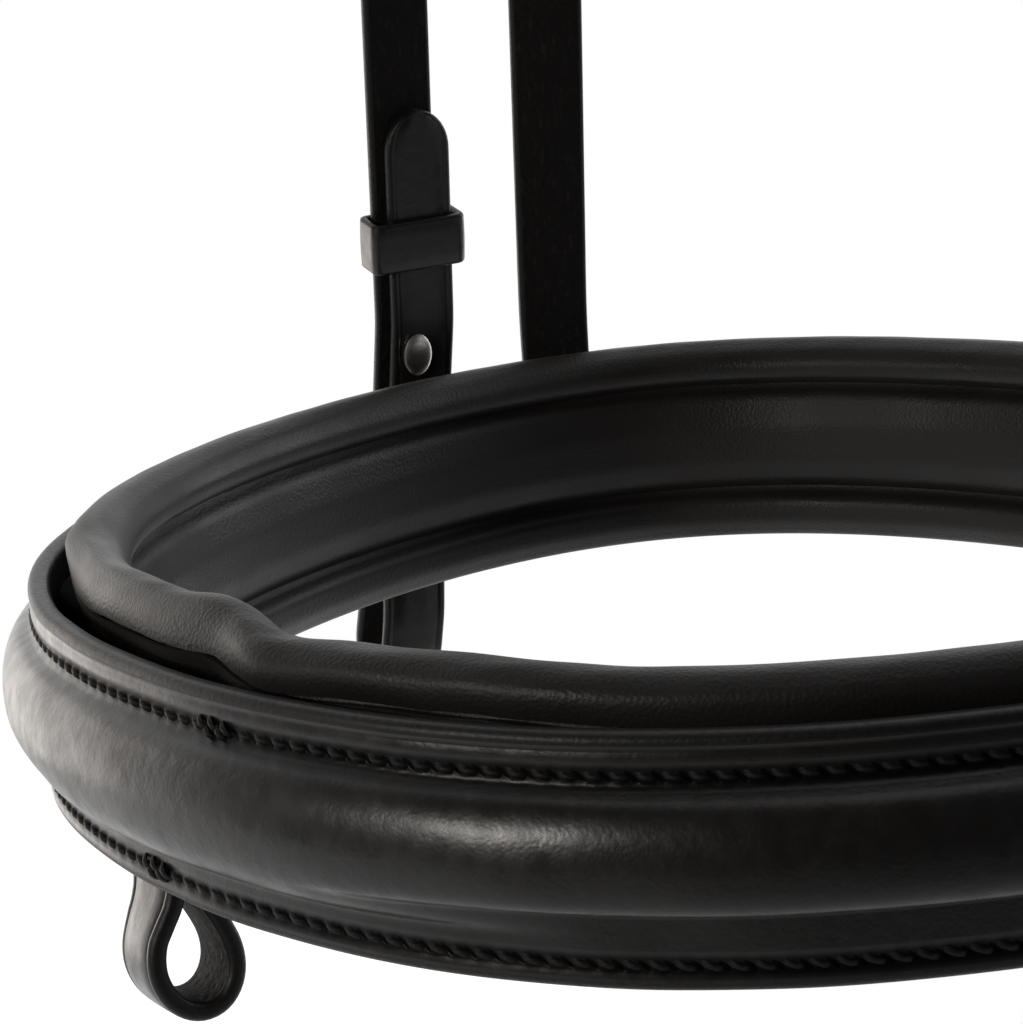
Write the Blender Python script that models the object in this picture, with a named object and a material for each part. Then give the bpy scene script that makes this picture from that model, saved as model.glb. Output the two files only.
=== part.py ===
"""A flash bridle of black leather, hung by its headpiece as it hangs on a bridle bracket.

Metres, +Z up. The horse's nose would point along -Y, and its left side is +X.
The origin is the middle of the underside of the headpiece's pad, where the poll carries it.
"""

import math

import bmesh
import bpy
from mathutils import Matrix, Vector

MM = 0.001
GAP = 0.3 * MM

# Noseband: an oval ring of padded leather, measured on the outer face of its band
RING_CENTRE = Vector((0, 8, -450)) * MM
RING_HALF_WIDTH = 121.5 * MM
RING_HALF_DEPTH = 117.8 * MM
RING_JOWL_SWELL = 13.4 * MM
RING_NOSE_FLAT = 5.0 * MM
RING_CORNER_X = 1.8 * MM
RING_CORNER_Y = 3.3 * MM
RING_TILT = math.radians(4.9)
RING_STEP = 14.0 * MM
BAND_HEIGHT = 32.4 * MM
BAND_THICKNESS = 3.4 * MM
BAND_END = 349 * MM
PAD_END = 345 * MM
RAISED_HALF = 9.4 * MM
RAISED_RISE = 5.4 * MM
RAISED_FULL = 18 * RING_STEP
FILLER_END = 19 * RING_STEP
RAISED_END = 20 * RING_STEP
ROLL_TOP = 22.0 * MM
ROLL_BOTTOM = 18.4 * MM
PAD_DEPTH = 16.0 * MM
LINING_THICKNESS = 1.2 * MM

# Straps
STRAP = 2.4 * MM
CHEEK_WIDTH = 12.8 * MM
THROAT_WIDTH = 11.0 * MM
HANGER_WIDTH = 14.3 * MM
CHIN_WIDTH = 15.0 * MM
CROWN_THICKNESS = 3.0 * MM
KEEPER_WALL = 1.5 * MM
HOLE_SPACING = 25.0 * MM
HOLE_RADIUS = 1.5 * MM

# Headpiece
POLL_RADIUS = 62.0 * MM
POLL_STEP = math.radians(9.2)
CROWN_PAD_DEPTH = 8.0 * MM
CROWN_FRONT = -20.3 * MM
CROWN_BACK = 18.7 * MM
STRAIGHT_BELOW = -115 * MM

# Places where straps cross the noseband, for the left side
CHEEK_AT_NOSEBAND = Vector((131.5, 37.2, -430)) * MM
HANGER_AT_NOSEBAND = 236 * MM
CHEEK_BUCKLE_Z = -225 * MM
HANGER_BUCKLE_Z = -290 * MM
THROAT_BUCKLE = Vector((89, 50, -192)) * MM
THROAT_BOTTOM = Vector((0, 112, -338)) * MM
BIT_LOOP_BOTTOM = 491 * MM
HOOK_BILLET_TOP = 374 * MM
HOOK_STUD_Z = -422 * MM
HOOK_KEEPER_Z = -400.5 * MM

# Flash loop, under the band at the nose. Its outline is in millimetres below the band's middle
FLASH_ALONG = -14.2 * MM
FLASH_OFF = -7.2 * MM
FLASH_WIDTH = 13.2 * MM
FLASH_THICKNESS = 2.7 * MM
FLASH_TURN = math.radians(-11.4)
FLASH_ROLL = math.radians(6.5)
FLASH_TOP = 13.2
FLASH_NECK = 18.4
FLASH_EYE = 30.3
FLASH_HALF_DEPTH = 5.9
FLASH_HALF_HEIGHT = 7.2

# Buckles
BAR_RADIUS = 1.1 * MM
PRONG_RADIUS = 0.95 * MM
BUCKLE_LENGTH = 15.0 * MM
FOLD_RADIUS = BAR_RADIUS + GAP + STRAP / 2
LAYER = STRAP / 2 + 0.2 * MM
BILLET_LAYER = LAYER + STRAP + GAP + 0.1 * MM
BILLET_OVER_FOLD = FOLD_RADIUS + STRAP + GAP + 0.7 * MM

LEFT, RIGHT = 1, -1
UP = Vector((0, 0, 1))
FRONT_TO_BACK = Vector((0, 1, 0))


def clear_scene():
    for item in list(bpy.data.objects):
        bpy.data.objects.remove(item, do_unlink=True)


def material(name, colour, roughness, metallic=0.0):
    made = bpy.data.materials.new(name)
    made.use_nodes = True
    shader = made.node_tree.nodes["Principled BSDF"]
    shader.inputs["Base Color"].default_value = (*colour, 1.0)
    shader.inputs["Roughness"].default_value = roughness
    shader.inputs["Metallic"].default_value = metallic
    made.diffuse_color = (*colour, 1.0)
    return made


def add_object(name, mesh_build, finish, origin=None, cutters=()):
    """Turns a bmesh into a named object whose origin lies where the piece turns or slides."""
    origin = origin or Vector((0, 0, 0))
    bmesh.ops.recalc_face_normals(mesh_build, faces=mesh_build.faces)
    if mesh_build.calc_volume(signed=True) < 0:
        bmesh.ops.reverse_faces(mesh_build, faces=mesh_build.faces)
    bmesh.ops.translate(mesh_build, verts=mesh_build.verts, vec=-origin)
    data = bpy.data.meshes.new(name)
    mesh_build.to_mesh(data)
    mesh_build.free()
    data.materials.append(finish)
    data.shade_smooth()
    data.set_sharp_from_angle(angle=math.radians(35))
    made = bpy.data.objects.new(name, data)
    made.location = origin
    bpy.context.scene.collection.objects.link(made)
    for cutter in cutters:
        cut = made.modifiers.new("cut", "BOOLEAN")
        cut.operation = "DIFFERENCE"
        cut.object = cutter
        cut.solver = "EXACT"
    return made


def add_cutter(name, mesh_build):
    cutter = add_object(name, mesh_build, leather)
    cutter.hide_render = True
    cutter.display_type = "WIRE"
    return cutter


def loft(sections, mesh_build=None, closed=False):
    """Joins closed loops of points, one after another, with a cap at each end."""
    mesh_build = mesh_build or bmesh.new()
    rings = [[mesh_build.verts.new(point) for point in section] for section in sections]
    pairs = list(zip(rings, rings[1:]))
    if closed:
        pairs.append((rings[-1], rings[0]))
    for first, second in pairs:
        for i in range(len(first)):
            j = (i + 1) % len(first)
            mesh_build.faces.new((first[i], first[j], second[j], second[i]))
    if not closed:
        mesh_build.faces.new(rings[0])
        mesh_build.faces.new(rings[-1])
    return mesh_build


def resample(points, step):
    """Points at an even spacing along a polyline, both ends kept."""
    lengths = [0.0]
    for a, b in zip(points, points[1:]):
        lengths.append(lengths[-1] + (b - a).length)
    count = max(2, round(lengths[-1] / step))
    found, k = [], 0
    for i in range(count + 1):
        want = lengths[-1] * i / count
        while k < len(points) - 2 and lengths[k + 1] < want:
            k += 1
        span = lengths[k + 1] - lengths[k]
        found.append(points[k].lerp(points[k + 1], (want - lengths[k]) / span))
    return found


def rounded(points, reach, step=2 * MM):
    """A polyline whose corners are eased over the given reach."""
    fine = resample(points, step)
    half = max(1, round(reach / step / 2))
    for _ in range(2):
        eased = []
        for i in range(len(fine)):
            k = min(half, i, len(fine) - 1 - i)
            eased.append(sum(fine[i - k:i + k + 1], Vector((0, 0, 0))) / (2 * k + 1))
        fine = eased
    return fine


def thinned(points, tolerance=0.12 * MM, longest=60 * MM):
    """Leaves out the points that a straight run between their neighbours already gives."""
    keep = {0, len(points) - 1}
    spans = [(0, len(points) - 1)]
    while spans:
        a, b = spans.pop()
        if b - a < 2:
            continue
        run = points[b] - points[a]
        line = run.normalized() if run.length > 0 else UP
        gaps = [((p - points[a]) - line * (p - points[a]).dot(line)).length for p in points[a + 1:b]]
        worst = max(range(len(gaps)), key=gaps.__getitem__) + a + 1
        if max(gaps) > tolerance or run.length > longest:
            middle = worst if max(gaps) > tolerance else (a + b) // 2
            keep.add(middle)
            spans += [(a, middle), (middle, b)]
    return [points[i] for i in sorted(keep)]


def frames_along(points, across):
    """For each point: itself, the width direction and the direction out of the strap's face."""
    found = []
    for i, point in enumerate(points):
        ahead = points[min(i + 1, len(points) - 1)] - points[max(i - 1, 0)]
        ahead.normalize()
        wide = across(point) if callable(across) else across
        wide = (wide - ahead * wide.dot(ahead)).normalized()
        found.append((point, wide, ahead.cross(wide)))
    return found


def strap(points, across, width, thickness, tip=0.0, mesh_build=None):
    """A flat strap along the points. A tip above 0 rounds its last stretch to a point."""
    stations = frames_along(points, across)
    end = points[-1]
    sections = []
    for point, wide, out in stations:
        half = width / 2
        left = (point - end).length
        if tip and left < tip:
            half *= 0.28 + 0.72 * math.sqrt(max(0.0, 1 - (1 - left / tip) ** 2))
        corners = ((-half, -1), (half, -1), (half, 1), (-half, 1))
        sections.append([point + wide * w + out * (n * thickness / 2) for w, n in corners])
    return loft(sections, mesh_build)


def with_tip(points, tip):
    """Splits the last stretch of a path finely enough for a rounded tip."""
    length, start = 0.0, len(points) - 1
    while start > 0 and length < tip:
        length += (points[start] - points[start - 1]).length
        start -= 1
    last = resample(points[start:], tip / 40)
    shares = (0, 0.25, 0.5, 0.7, 0.85, 0.95, 1)
    end = len(last) - 1
    inside = [last[max(0, end - round(40 * (1 - share)))] for share in shares]
    return points[:start + 1] + [p for p in inside if (p - points[start]).length > 0.5 * MM]


class Place:
    """A spot on a strap: s runs along it, w across it and n out of its face."""

    def __init__(self, origin, along, out):
        self.origin = origin
        self.s = along.normalized()
        self.n = (out - self.s * out.dot(self.s)).normalized()
        self.w = self.n.cross(self.s)

    def at(self, s, w=0.0, n=0.0):
        return self.origin + self.s * s + self.w * w + self.n * n


def arc(centre_s, centre_n, radius, first, last, steps):
    """Points of an arc in a strap's own s and n, by degrees from s towards n."""
    found = []
    for i in range(steps + 1):
        turn = math.radians(first + (last - first) * i / steps)
        found.append((centre_s + radius * math.cos(turn), centre_n + radius * math.sin(turn)))
    return found


def tube(points, radius, sides, closed=False, across=None):
    """A round bar along the points. A closed bar returns to its first point."""
    sections = []
    count = len(points)
    for i, point in enumerate(points):
        before = points[i - 1] if closed or i else point
        after = points[(i + 1) % count] if closed or i < count - 1 else point
        ahead = (after - before).normalized()
        side = (across - ahead * across.dot(ahead)).normalized()
        out = ahead.cross(side)
        turns = [2 * math.pi * k / sides for k in range(sides)]
        sections.append([point + (side * math.cos(a) + out * math.sin(a)) * radius for a in turns])
    return loft(sections, closed=closed)


def buckle_frame(name, place, strap_width, tilt_rise):
    """A rounded rectangle of wire. Its heel bar lies at s = 0 and its front bar rides over the billet."""
    half = strap_width / 2 + 2.0 * MM
    corner = 2.6 * MM
    slope = tilt_rise / BUCKLE_LENGTH
    outline = []
    for centre_s, centre_w, first in (
        (BUCKLE_LENGTH - corner, half - corner, 0),
        (corner * 0.6, half - corner * 0.6, 90),
        (corner * 0.6, corner * 0.6 - half, 180),
        (BUCKLE_LENGTH - corner, corner - half, 270),
    ):
        radius = corner if centre_s > BUCKLE_LENGTH / 2 else corner * 0.6
        for k in range(4):
            turn = math.radians(first + 30 * k)
            s = centre_s + radius * math.cos(turn)
            w = centre_w + radius * math.sin(turn)
            outline.append(place.at(s, w, s * slope))
    return add_object(name, tube(outline, BAR_RADIUS, 6, closed=True, across=place.n), steel, place.at(0))


def buckle_prong(name, place, tilt_rise):
    """A tongue whose eye wraps the heel bar. It stands up through the billet's hole and lies forward."""
    eye = BAR_RADIUS + 0.15 * MM + PRONG_RADIUS
    over = BILLET_OVER_FOLD + STRAP / 2 + GAP + PRONG_RADIUS
    rest = tilt_rise + BAR_RADIUS + PRONG_RADIUS + 0.15 * MM
    route = arc(0, 0, eye, -250, 0, 8)
    route += [(eye, over - 1.6 * MM), (eye + 0.5 * MM, over - 0.5 * MM), (eye + 1.7 * MM, over)]
    route += [(BUCKLE_LENGTH - 2 * MM, rest), (BUCKLE_LENGTH + 1.6 * MM, rest - 0.1 * MM)]
    points = [place.at(s, 0, n) for s, n in route]
    return add_object(name, tube(points, PRONG_RADIUS, 6, across=place.w), steel, place.at(0))


def fold_points(place, back_length):
    """The same turned end as points, from the end of the short layer to the start of the long one."""
    return [place.at(s, 0, n) for s, n in fold_route(back_length)][::-1]


def fold_route(back_length):
    """The turned end of a strap round a heel bar, as (s, n), from the long layer to the end of the short one."""
    ease = 0.45 * MM
    long_layer = [(-8 * MM, LAYER), (-3.6 * MM, FOLD_RADIUS - ease)]
    short_layer = [(-3.6 * MM, ease - FOLD_RADIUS), (-8 * MM, -LAYER), (-back_length, -LAYER)]
    return long_layer + arc(0, 0, FOLD_RADIUS, 90, -90, 6) + short_layer


def billet_route(tail, rise):
    """The billet's way through a buckle, as (s, n), from above the front bar to the end of its tail."""
    under_bar = rise - BAR_RADIUS - GAP - STRAP / 2 - 0.4 * MM
    return [
        (BUCKLE_LENGTH + 9 * MM, LAYER),
        (BUCKLE_LENGTH, under_bar),
        (0, BILLET_OVER_FOLD),
        (-9 * MM, BILLET_LAYER),
        (-tail, BILLET_LAYER),
    ]


def block(place, s_range, w_range, n_range, mesh_build=None):
    """A box in a place's own directions."""
    sections = []
    for s in s_range:
        corners = [(w_range[0], n_range[0]), (w_range[1], n_range[0])]
        corners += [(w_range[1], n_range[1]), (w_range[0], n_range[1])]
        sections.append([place.at(s, w, n) for w, n in corners])
    return loft(sections, mesh_build)


def punch(place, s, depth, mesh_build, half_length=HOLE_RADIUS, half_width=HOLE_RADIUS):
    """A hole's cutter: an eight-sided pin, drawn out along the strap for the hole that holds a prong."""
    sections = []
    for n in depth:
        turns = [math.radians(22.5 + 45 * k) for k in range(8)]
        sections.append([
            place.at(s + half_length * math.cos(a) * 1.08, half_width * math.sin(a) * 1.08, n) for a in turns
        ])
    return loft(sections, mesh_build)


def keeper(name, place, s, length, strap_width, n_low, n_high, finish):
    """A closed leather loop round the layers of strap between two heights."""
    inner_w = strap_width / 2 + 0.4 * MM
    outer_w = inner_w + KEEPER_WALL
    low, high = n_low - GAP, n_high + GAP
    corner = 0.8 * MM

    def outline(half, bottom, top, cut):
        points = [(-half + cut, bottom), (half - cut, bottom), (half, bottom + cut), (half, top - cut)]
        return points + [(half - cut, top), (-half + cut, top), (-half, top - cut), (-half, bottom + cut)]

    outer = outline(outer_w, low - KEEPER_WALL, high + KEEPER_WALL, corner + 0.4 * MM)
    inner = outline(inner_w, low, high, 0.15 * MM)
    mesh_build = bmesh.new()
    rings = []
    for side in (-length / 2, length / 2):
        for shape in (outer, inner):
            rings.append([mesh_build.verts.new(place.at(s + side, w, n)) for w, n in shape])
    first_out, first_in, last_out, last_in = rings
    for a, b in ((first_out, last_out), (last_out, last_in), (last_in, first_in), (first_in, first_out)):
        for i in range(8):
            j = (i + 1) % 8
            mesh_build.faces.new((a[i], a[j], b[j], b[i]))
    return add_object(name, mesh_build, finish, place.at(s))


def ring_local(turn, off):
    """A level point of the noseband's oval and the way out of it, by the turn from the nose."""
    x = RING_HALF_WIDTH * math.sin(turn) - RING_JOWL_SWELL * math.sin(2 * turn)
    x += RING_CORNER_X * math.sin(3 * turn)
    y = -RING_HALF_DEPTH * math.cos(turn) + RING_NOSE_FLAT * math.cos(2 * turn)
    y += RING_CORNER_Y * math.cos(3 * turn)
    dx = RING_HALF_WIDTH * math.cos(turn) - 2 * RING_JOWL_SWELL * math.cos(2 * turn)
    dx += 3 * RING_CORNER_X * math.cos(3 * turn)
    dy = RING_HALF_DEPTH * math.sin(turn) - 2 * RING_NOSE_FLAT * math.sin(2 * turn)
    dy -= 3 * RING_CORNER_Y * math.sin(3 * turn)
    long = math.hypot(dx, dy)
    return x + dy / long * off, y - dx / long * off, dx / long, dy / long


def arc_table(steps=720):
    """Arc length from the nose for evenly spaced turns, over half of the oval."""
    table = [0.0]
    last = ring_local(0, 0)
    for i in range(1, steps + 1):
        here = ring_local(math.pi * i / steps, 0)
        table.append(table[-1] + math.hypot(here[0] - last[0], here[1] - last[1]))
        last = here
    return table


RING_TABLE = arc_table()
RING_LENGTH = 2 * RING_TABLE[-1]


def ring_turn(along):
    """The turn at an arc length from the nose. Past the chin it goes on round the other side."""
    if along < 0:
        return -ring_turn(-along)
    if along > RING_TABLE[-1]:
        return 2 * math.pi - ring_turn(RING_LENGTH - along)
    low, high = 0, len(RING_TABLE) - 1
    while high - low > 1:
        middle = (low + high) // 2
        if RING_TABLE[middle] <= along:
            low = middle
        else:
            high = middle
    share = (along - RING_TABLE[low]) / (RING_TABLE[high] - RING_TABLE[low])
    return math.pi * (low + share) / (len(RING_TABLE) - 1)


TILTED = Matrix.Translation(RING_CENTRE) @ Matrix.Rotation(RING_TILT, 4, "X")


def ring_at(along, off, height):
    x, y, _, _ = ring_local(ring_turn(along), off)
    return TILTED @ Vector((x, y, height))


def ring_along(along):
    _, _, dx, dy = ring_local(ring_turn(along), 0)
    return TILTED.to_3x3() @ Vector((dx, dy, 0))


def ring_out(along):
    _, _, dx, dy = ring_local(ring_turn(along), 0)
    return TILTED.to_3x3() @ Vector((dy, -dx, 0))


def ring_sweep(section_at, end):
    """Sweeps a section of (off, height) points round the noseband, at stations that all its layers share."""
    inside = [i * RING_STEP for i in range(-40, 41) if abs(i * RING_STEP) < end - 2 * MM]
    stations = [-end] + inside + [end]
    return loft([[ring_at(along, off, height) for off, height in section_at(along)] for along in stations])


def raised_share(along):
    """How much of the raised centre stands at this place: it fades out towards the chin."""
    share = (RAISED_END - abs(along)) / (RAISED_END - RAISED_FULL)
    share = min(1.0, max(0.0, share))
    return share * share * (3 - 2 * share)


def band_section(along):
    """The band's outer face with its raised centre, and the channel behind it."""
    k = raised_share(along)
    half = BAND_HEIGHT / 2
    front = [(0, -half), (0, -RAISED_HALF)]
    for share in (-0.8, -0.45, 0, 0.45, 0.8):
        front.append((RAISED_RISE * math.sqrt(1 - share * share) * k, share * RAISED_HALF))
    front += [(0, RAISED_HALF), (0, half)]
    back = [(-BAND_THICKNESS, half), (-BAND_THICKNESS, 7 * MM)]
    for share in (0.6, 0, -0.6):
        rise = (BAND_THICKNESS + RAISED_RISE - 2.6 * MM) * math.sqrt(1 - share * share) * k
        back.append((-BAND_THICKNESS + rise, share * 7 * MM))
    back += [(-BAND_THICKNESS, -7 * MM), (-BAND_THICKNESS, -half)]
    return front + back


def filler_section(along):
    """The half-round core that fills the raised centre."""
    k = raised_share(along)
    rise = (BAND_THICKNESS + RAISED_RISE - 3.6 * MM) * k
    base = GAP - BAND_THICKNESS
    outline = [(base, -5.9 * MM)]
    for share in (-0.6, 0, 0.6):
        outline.append((base + rise * math.sqrt(1 - share * share) * 0.92, share * 6.0 * MM))
    outline.append((base, 5.9 * MM))
    return outline


def padding_outline():
    """The padding's face towards the horse, top to bottom: a roll, a groove, a wide swell, a groove, a roll."""
    top, low, deep = ROLL_TOP, -ROLL_BOTTOM, -PAD_DEPTH
    front = -BAND_THICKNESS - GAP
    return [
        (front, top - 6.2 * MM), (front - 1.6 * MM, top - 2.3 * MM), (front - 4.4 * MM, top - 0.3 * MM),
        (front - 7.3 * MM, top - 0.1 * MM), (deep + 1.9 * MM, top - 1.9 * MM), (deep + 0.1 * MM, top - 5.2 * MM),
        (deep + 0.6 * MM, top - 8.4 * MM), (deep + 3.2 * MM, top - 10.5 * MM), (deep + 1.3 * MM, top - 13.6 * MM),
        (deep, 0.2 * MM), (deep + 1.3 * MM, low + 10.4 * MM),
        (deep + 3.2 * MM, low + 7.6 * MM), (deep + 0.7 * MM, low + 5.6 * MM), (deep + 0.7 * MM, low + 2.9 * MM),
        (deep + 3.0 * MM, low + 0.5 * MM), (front - 6.2 * MM, low), (front - 2.4 * MM, low + 1.0 * MM),
        (front, low + 3.8 * MM),
    ]


def inner_outline(depth):
    """The padding's outline moved in by a depth and made plainer, for the foam and the lining's inner face."""
    outline = padding_outline()
    front = -BAND_THICKNESS - GAP
    found = []
    for i in (0, 1, 3, 5, 7, 9, 11, 13, 15, 17):
        off, height = outline[i]
        before = outline[max(i - 1, 0)]
        after = outline[min(i + 1, len(outline) - 1)]
        run = (after[0] - before[0], after[1] - before[1])
        long = math.hypot(*run)
        found.append((min(front, off - run[1] / long * depth), height + run[0] / long * depth))
    return found


def lining_section(_):
    outline = padding_outline()
    return outline + inner_outline(LINING_THICKNESS)[::-1]


def foam_section(_):
    return inner_outline(LINING_THICKNESS + 0.6 * MM)


# Finishes
leather = material("black bridle leather", (0.012, 0.011, 0.011), 0.42)
soft_leather = material("black lining leather", (0.014, 0.013, 0.013), 0.6)
foam = material("padding foam", (0.18, 0.18, 0.17), 0.95)
felt = material("filler cord", (0.09, 0.08, 0.07), 0.9)
steel = material("stainless steel", (0.62, 0.61, 0.59), 0.24, 1.0)


def mirrored(vector, side):
    return Vector((vector.x * side, vector.y, vector.z))


def poll_arc(radius, y, side, last=90, steps=9):
    """Points over the poll from the top down one side."""
    found = []
    for i in range(steps + 1):
        turn = math.radians(last * i / steps)
        found.append(Vector((side * radius * math.sin(turn), y, radius * math.cos(turn) - POLL_RADIUS)))
    return found


def poll_spokes():
    """Directions from the poll's axis, stretched so that the facets between them lie at the true radius."""
    turns = [POLL_STEP * (i + 0.5) for i in range(-10, 10)]
    return [Vector((math.sin(a), 0, math.cos(a))) / math.cos(POLL_STEP / 2) for a in turns]


CROWN_RADIUS = POLL_RADIUS + CROWN_PAD_DEPTH + GAP + CROWN_THICKNESS / 2
CHEEK_TOP_Y = -13.8 * MM
THROAT_TOP_Y = 13.2 * MM
THROAT_BEND_Y = 21 * MM
HEADSTRAP_RADIUS = POLL_RADIUS + CROWN_PAD_DEPTH - GAP - STRAP / 2 - 0.2 * MM
HEADSTRAP_TOP_Y = 3.0 * MM
HANGER_OFF = -BAND_THICKNESS - GAP - STRAP / 2 - 0.5 * MM
HANGER_DEPTH = -6 * MM
RISE = 4.0 * MM


def cheek_start(side):
    return Vector((side * CROWN_RADIUS, CHEEK_TOP_Y, STRAIGHT_BELOW))


def cheek_place(side):
    """The cheek buckle's heel bar, on the straight run from the headpiece to the noseband."""
    top, low = cheek_start(side), mirrored(CHEEK_AT_NOSEBAND, side)
    up = (top - low).normalized()
    inset = Place(low, up, Vector((side, 0, 0)))
    bar = low + up * ((CHEEK_BUCKLE_Z - low.z) / up.z) - inset.n * LAYER
    return Place(bar, up, Vector((side, 0, 0)))


def hanger_line(side):
    """The straight run of the noseband's hanger, from below the browband to the band's top edge."""
    top = Vector((side * HEADSTRAP_RADIUS, 17.1 * MM, STRAIGHT_BELOW))
    low = ring_at(side * HANGER_AT_NOSEBAND, HANGER_OFF, BAND_HEIGHT / 2 + 12 * MM)
    return top, low


def hanger_place(side):
    top, low = hanger_line(side)
    up = (top - low).normalized()
    inset = Place(low, up, Vector((side, 0, 0)))
    bar = low + up * ((HANGER_BUCKLE_Z - low.z) / up.z) - inset.n * LAYER
    return Place(bar, up, Vector((side, 0, 0)))


def throat_place(side):
    top = Vector((side * CROWN_RADIUS, THROAT_BEND_Y, STRAIGHT_BELOW))
    bar = mirrored(THROAT_BUCKLE, side)
    return Place(bar, top - bar, Vector((side, 0, 0)))


def blend(high, high_z, low, low_z):
    """A width direction that turns from one vector to another between two heights."""
    def across(point):
        share = (high_z - point.z) / (high_z - low_z)
        return high.lerp(low, min(1.0, max(0.0, share)))

    return across


def to_back(place, side):
    """A place's own width direction, turned so that it points to the back on either side."""
    return place.w * -side


def billet_points(upper, place, tail):
    """A billet's path: the long run above, eased widely, and the way through the buckle, eased a little."""
    entry = place.at(BUCKLE_LENGTH + 12 * MM, 0, LAYER)
    through = [place.at(s, 0, n) for s, n in billet_route(tail, RISE)]
    return rounded(upper + [entry], 12 * MM)[:-1] + rounded([entry] + through, 4 * MM, 1 * MM)


def crownpiece():
    """One piece of leather over the poll, slit on each side into a cheek billet and a throat billet."""
    columns = (CROWN_FRONT, CHEEK_TOP_Y + CHEEK_WIDTH / 2, THROAT_TOP_Y - THROAT_WIDTH / 2, CROWN_BACK)
    half = CROWN_THICKNESS / 2
    mesh_build = bmesh.new()
    rows = []
    for out in poll_spokes():
        spine = Vector((0, 0, -POLL_RADIUS)) + out * CROWN_RADIUS
        outer = [mesh_build.verts.new(spine + out * half + FRONT_TO_BACK * y) for y in columns]
        inner = [mesh_build.verts.new(spine - out * half + FRONT_TO_BACK * y) for y in columns]
        rows.append((outer, inner))
    for (outer, inner), (next_outer, next_inner) in zip(rows, rows[1:]):
        for k in range(3):
            mesh_build.faces.new((outer[k], outer[k + 1], next_outer[k + 1], next_outer[k]))
            mesh_build.faces.new((inner[k], next_inner[k], next_inner[k + 1], inner[k + 1]))
        mesh_build.faces.new((outer[0], next_outer[0], next_inner[0], inner[0]))
        mesh_build.faces.new((outer[3], inner[3], next_inner[3], next_outer[3]))
    for side, (outer, inner) in ((LEFT, rows[-1]), (RIGHT, rows[0])):
        mesh_build.faces.new((outer[1], outer[2], inner[2], inner[1]))
        start = [Vector((side * CROWN_RADIUS, y, -66 * MM)) for y in (CHEEK_TOP_Y, THROAT_TOP_Y)]
        bend = [Vector((side * CROWN_RADIUS, y, STRAIGHT_BELOW)) for y in (CHEEK_TOP_Y, THROAT_BEND_Y)]
        for k, place, wide, tail in (
            (0, cheek_place(side), CHEEK_WIDTH, 46 * MM),
            (1, throat_place(side), THROAT_WIDTH, 40 * MM),
        ):
            route = with_tip(thinned(billet_points([start[k], bend[k]], place, tail)), 11 * MM)
            across = blend(FRONT_TO_BACK, STRAIGHT_BELOW, to_back(place, side), place.origin.z + 30 * MM)
            ends = (outer[2 * k], outer[2 * k + 1], inner[2 * k + 1], inner[2 * k])
            grow_tail(mesh_build, route, across, wide, ends, side)
    return mesh_build


def grow_tail(mesh_build, route, turned, wide, ends, side):
    """Continues the headpiece from four of its corners down one billet."""
    last = list(ends)
    tip = 11 * MM
    for point, across, out in frames_along(route, turned):
        out = out if out.x * side > 0 else -out
        left = (point - route[-1]).length
        half = wide / 2
        if left < tip:
            half *= 0.28 + 0.72 * math.sqrt(max(0.0, 1 - (1 - left / tip) ** 2))
        thick = STRAP / 2
        corners = ((-half, thick), (half, thick), (half, -thick), (-half, -thick))
        ring = [mesh_build.verts.new(point + across * w + out * n) for w, n in corners]
        for i in range(4):
            j = (i + 1) % 4
            mesh_build.faces.new((last[i], last[j], ring[j], ring[i]))
        last = ring
    mesh_build.faces.new(last)


def billet_cutter(name, places, above, below):
    """The punched holes of one strap's billets, the one in use drawn out for its prong."""
    mesh_build = bmesh.new()
    for place in places:
        punch(place, 1.2 * MM, (1.5 * MM, 9 * MM), mesh_build, 2.5 * MM, 1.35 * MM)
        for k in range(1, above + 1):
            punch(place, 2 * MM + HOLE_SPACING * k, (-4 * MM, 7 * MM), mesh_build)
        for k in range(1, below + 1):
            punch(place, 2 * MM - HOLE_SPACING * k * 0.86, (BILLET_LAYER - 1.6 * MM, 9 * MM), mesh_build)
    return add_cutter(name, mesh_build)


def crown_pad():
    """The padded lining of the headpiece, with a channel along its top for the noseband's headstrap."""
    sections = []
    groove = CROWN_PAD_DEPTH - GAP - STRAP - 1.5 * MM
    shape = [
        (-17 * MM, 1.6 * MM), (-10 * MM, 0.1 * MM), (-4 * MM, 0), (4 * MM, 0), (10 * MM, 0.1 * MM),
        (17 * MM, 1.6 * MM), (20 * MM, 5 * MM), (18.5 * MM, CROWN_PAD_DEPTH), (13 * MM, CROWN_PAD_DEPTH),
        (13 * MM, groove), (-7 * MM, groove), (-7 * MM, CROWN_PAD_DEPTH), (-18.5 * MM, CROWN_PAD_DEPTH),
        (-20 * MM, 5 * MM),
    ]
    for out in poll_spokes():
        base = Vector((0, 0, -POLL_RADIUS)) + out * POLL_RADIUS
        sections.append([base + out * n + FRONT_TO_BACK * y for y, n in shape])
    return loft(sections)


def ring_to_back(side):
    return ring_along(side * HANGER_AT_NOSEBAND) * side


def twisted_right():
    """The right hanger twists outward below the browband and comes back to the ring's own direction."""
    turned = Vector((0.5, 0.866, 0))
    upper = blend(FRONT_TO_BACK, STRAIGHT_BELOW, turned, -350 * MM)
    lower = blend(turned, -350 * MM, ring_to_back(RIGHT), -425 * MM)
    return lambda point: upper(point) if point.z > -350 * MM else lower(point)


def pocket_end(side, deepest):
    """The hanger's end, between the band and the padding."""
    return [ring_at(side * HANGER_AT_NOSEBAND, HANGER_OFF, h) for h in (BAND_HEIGHT / 2 + 2 * MM, deepest)]


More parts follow.
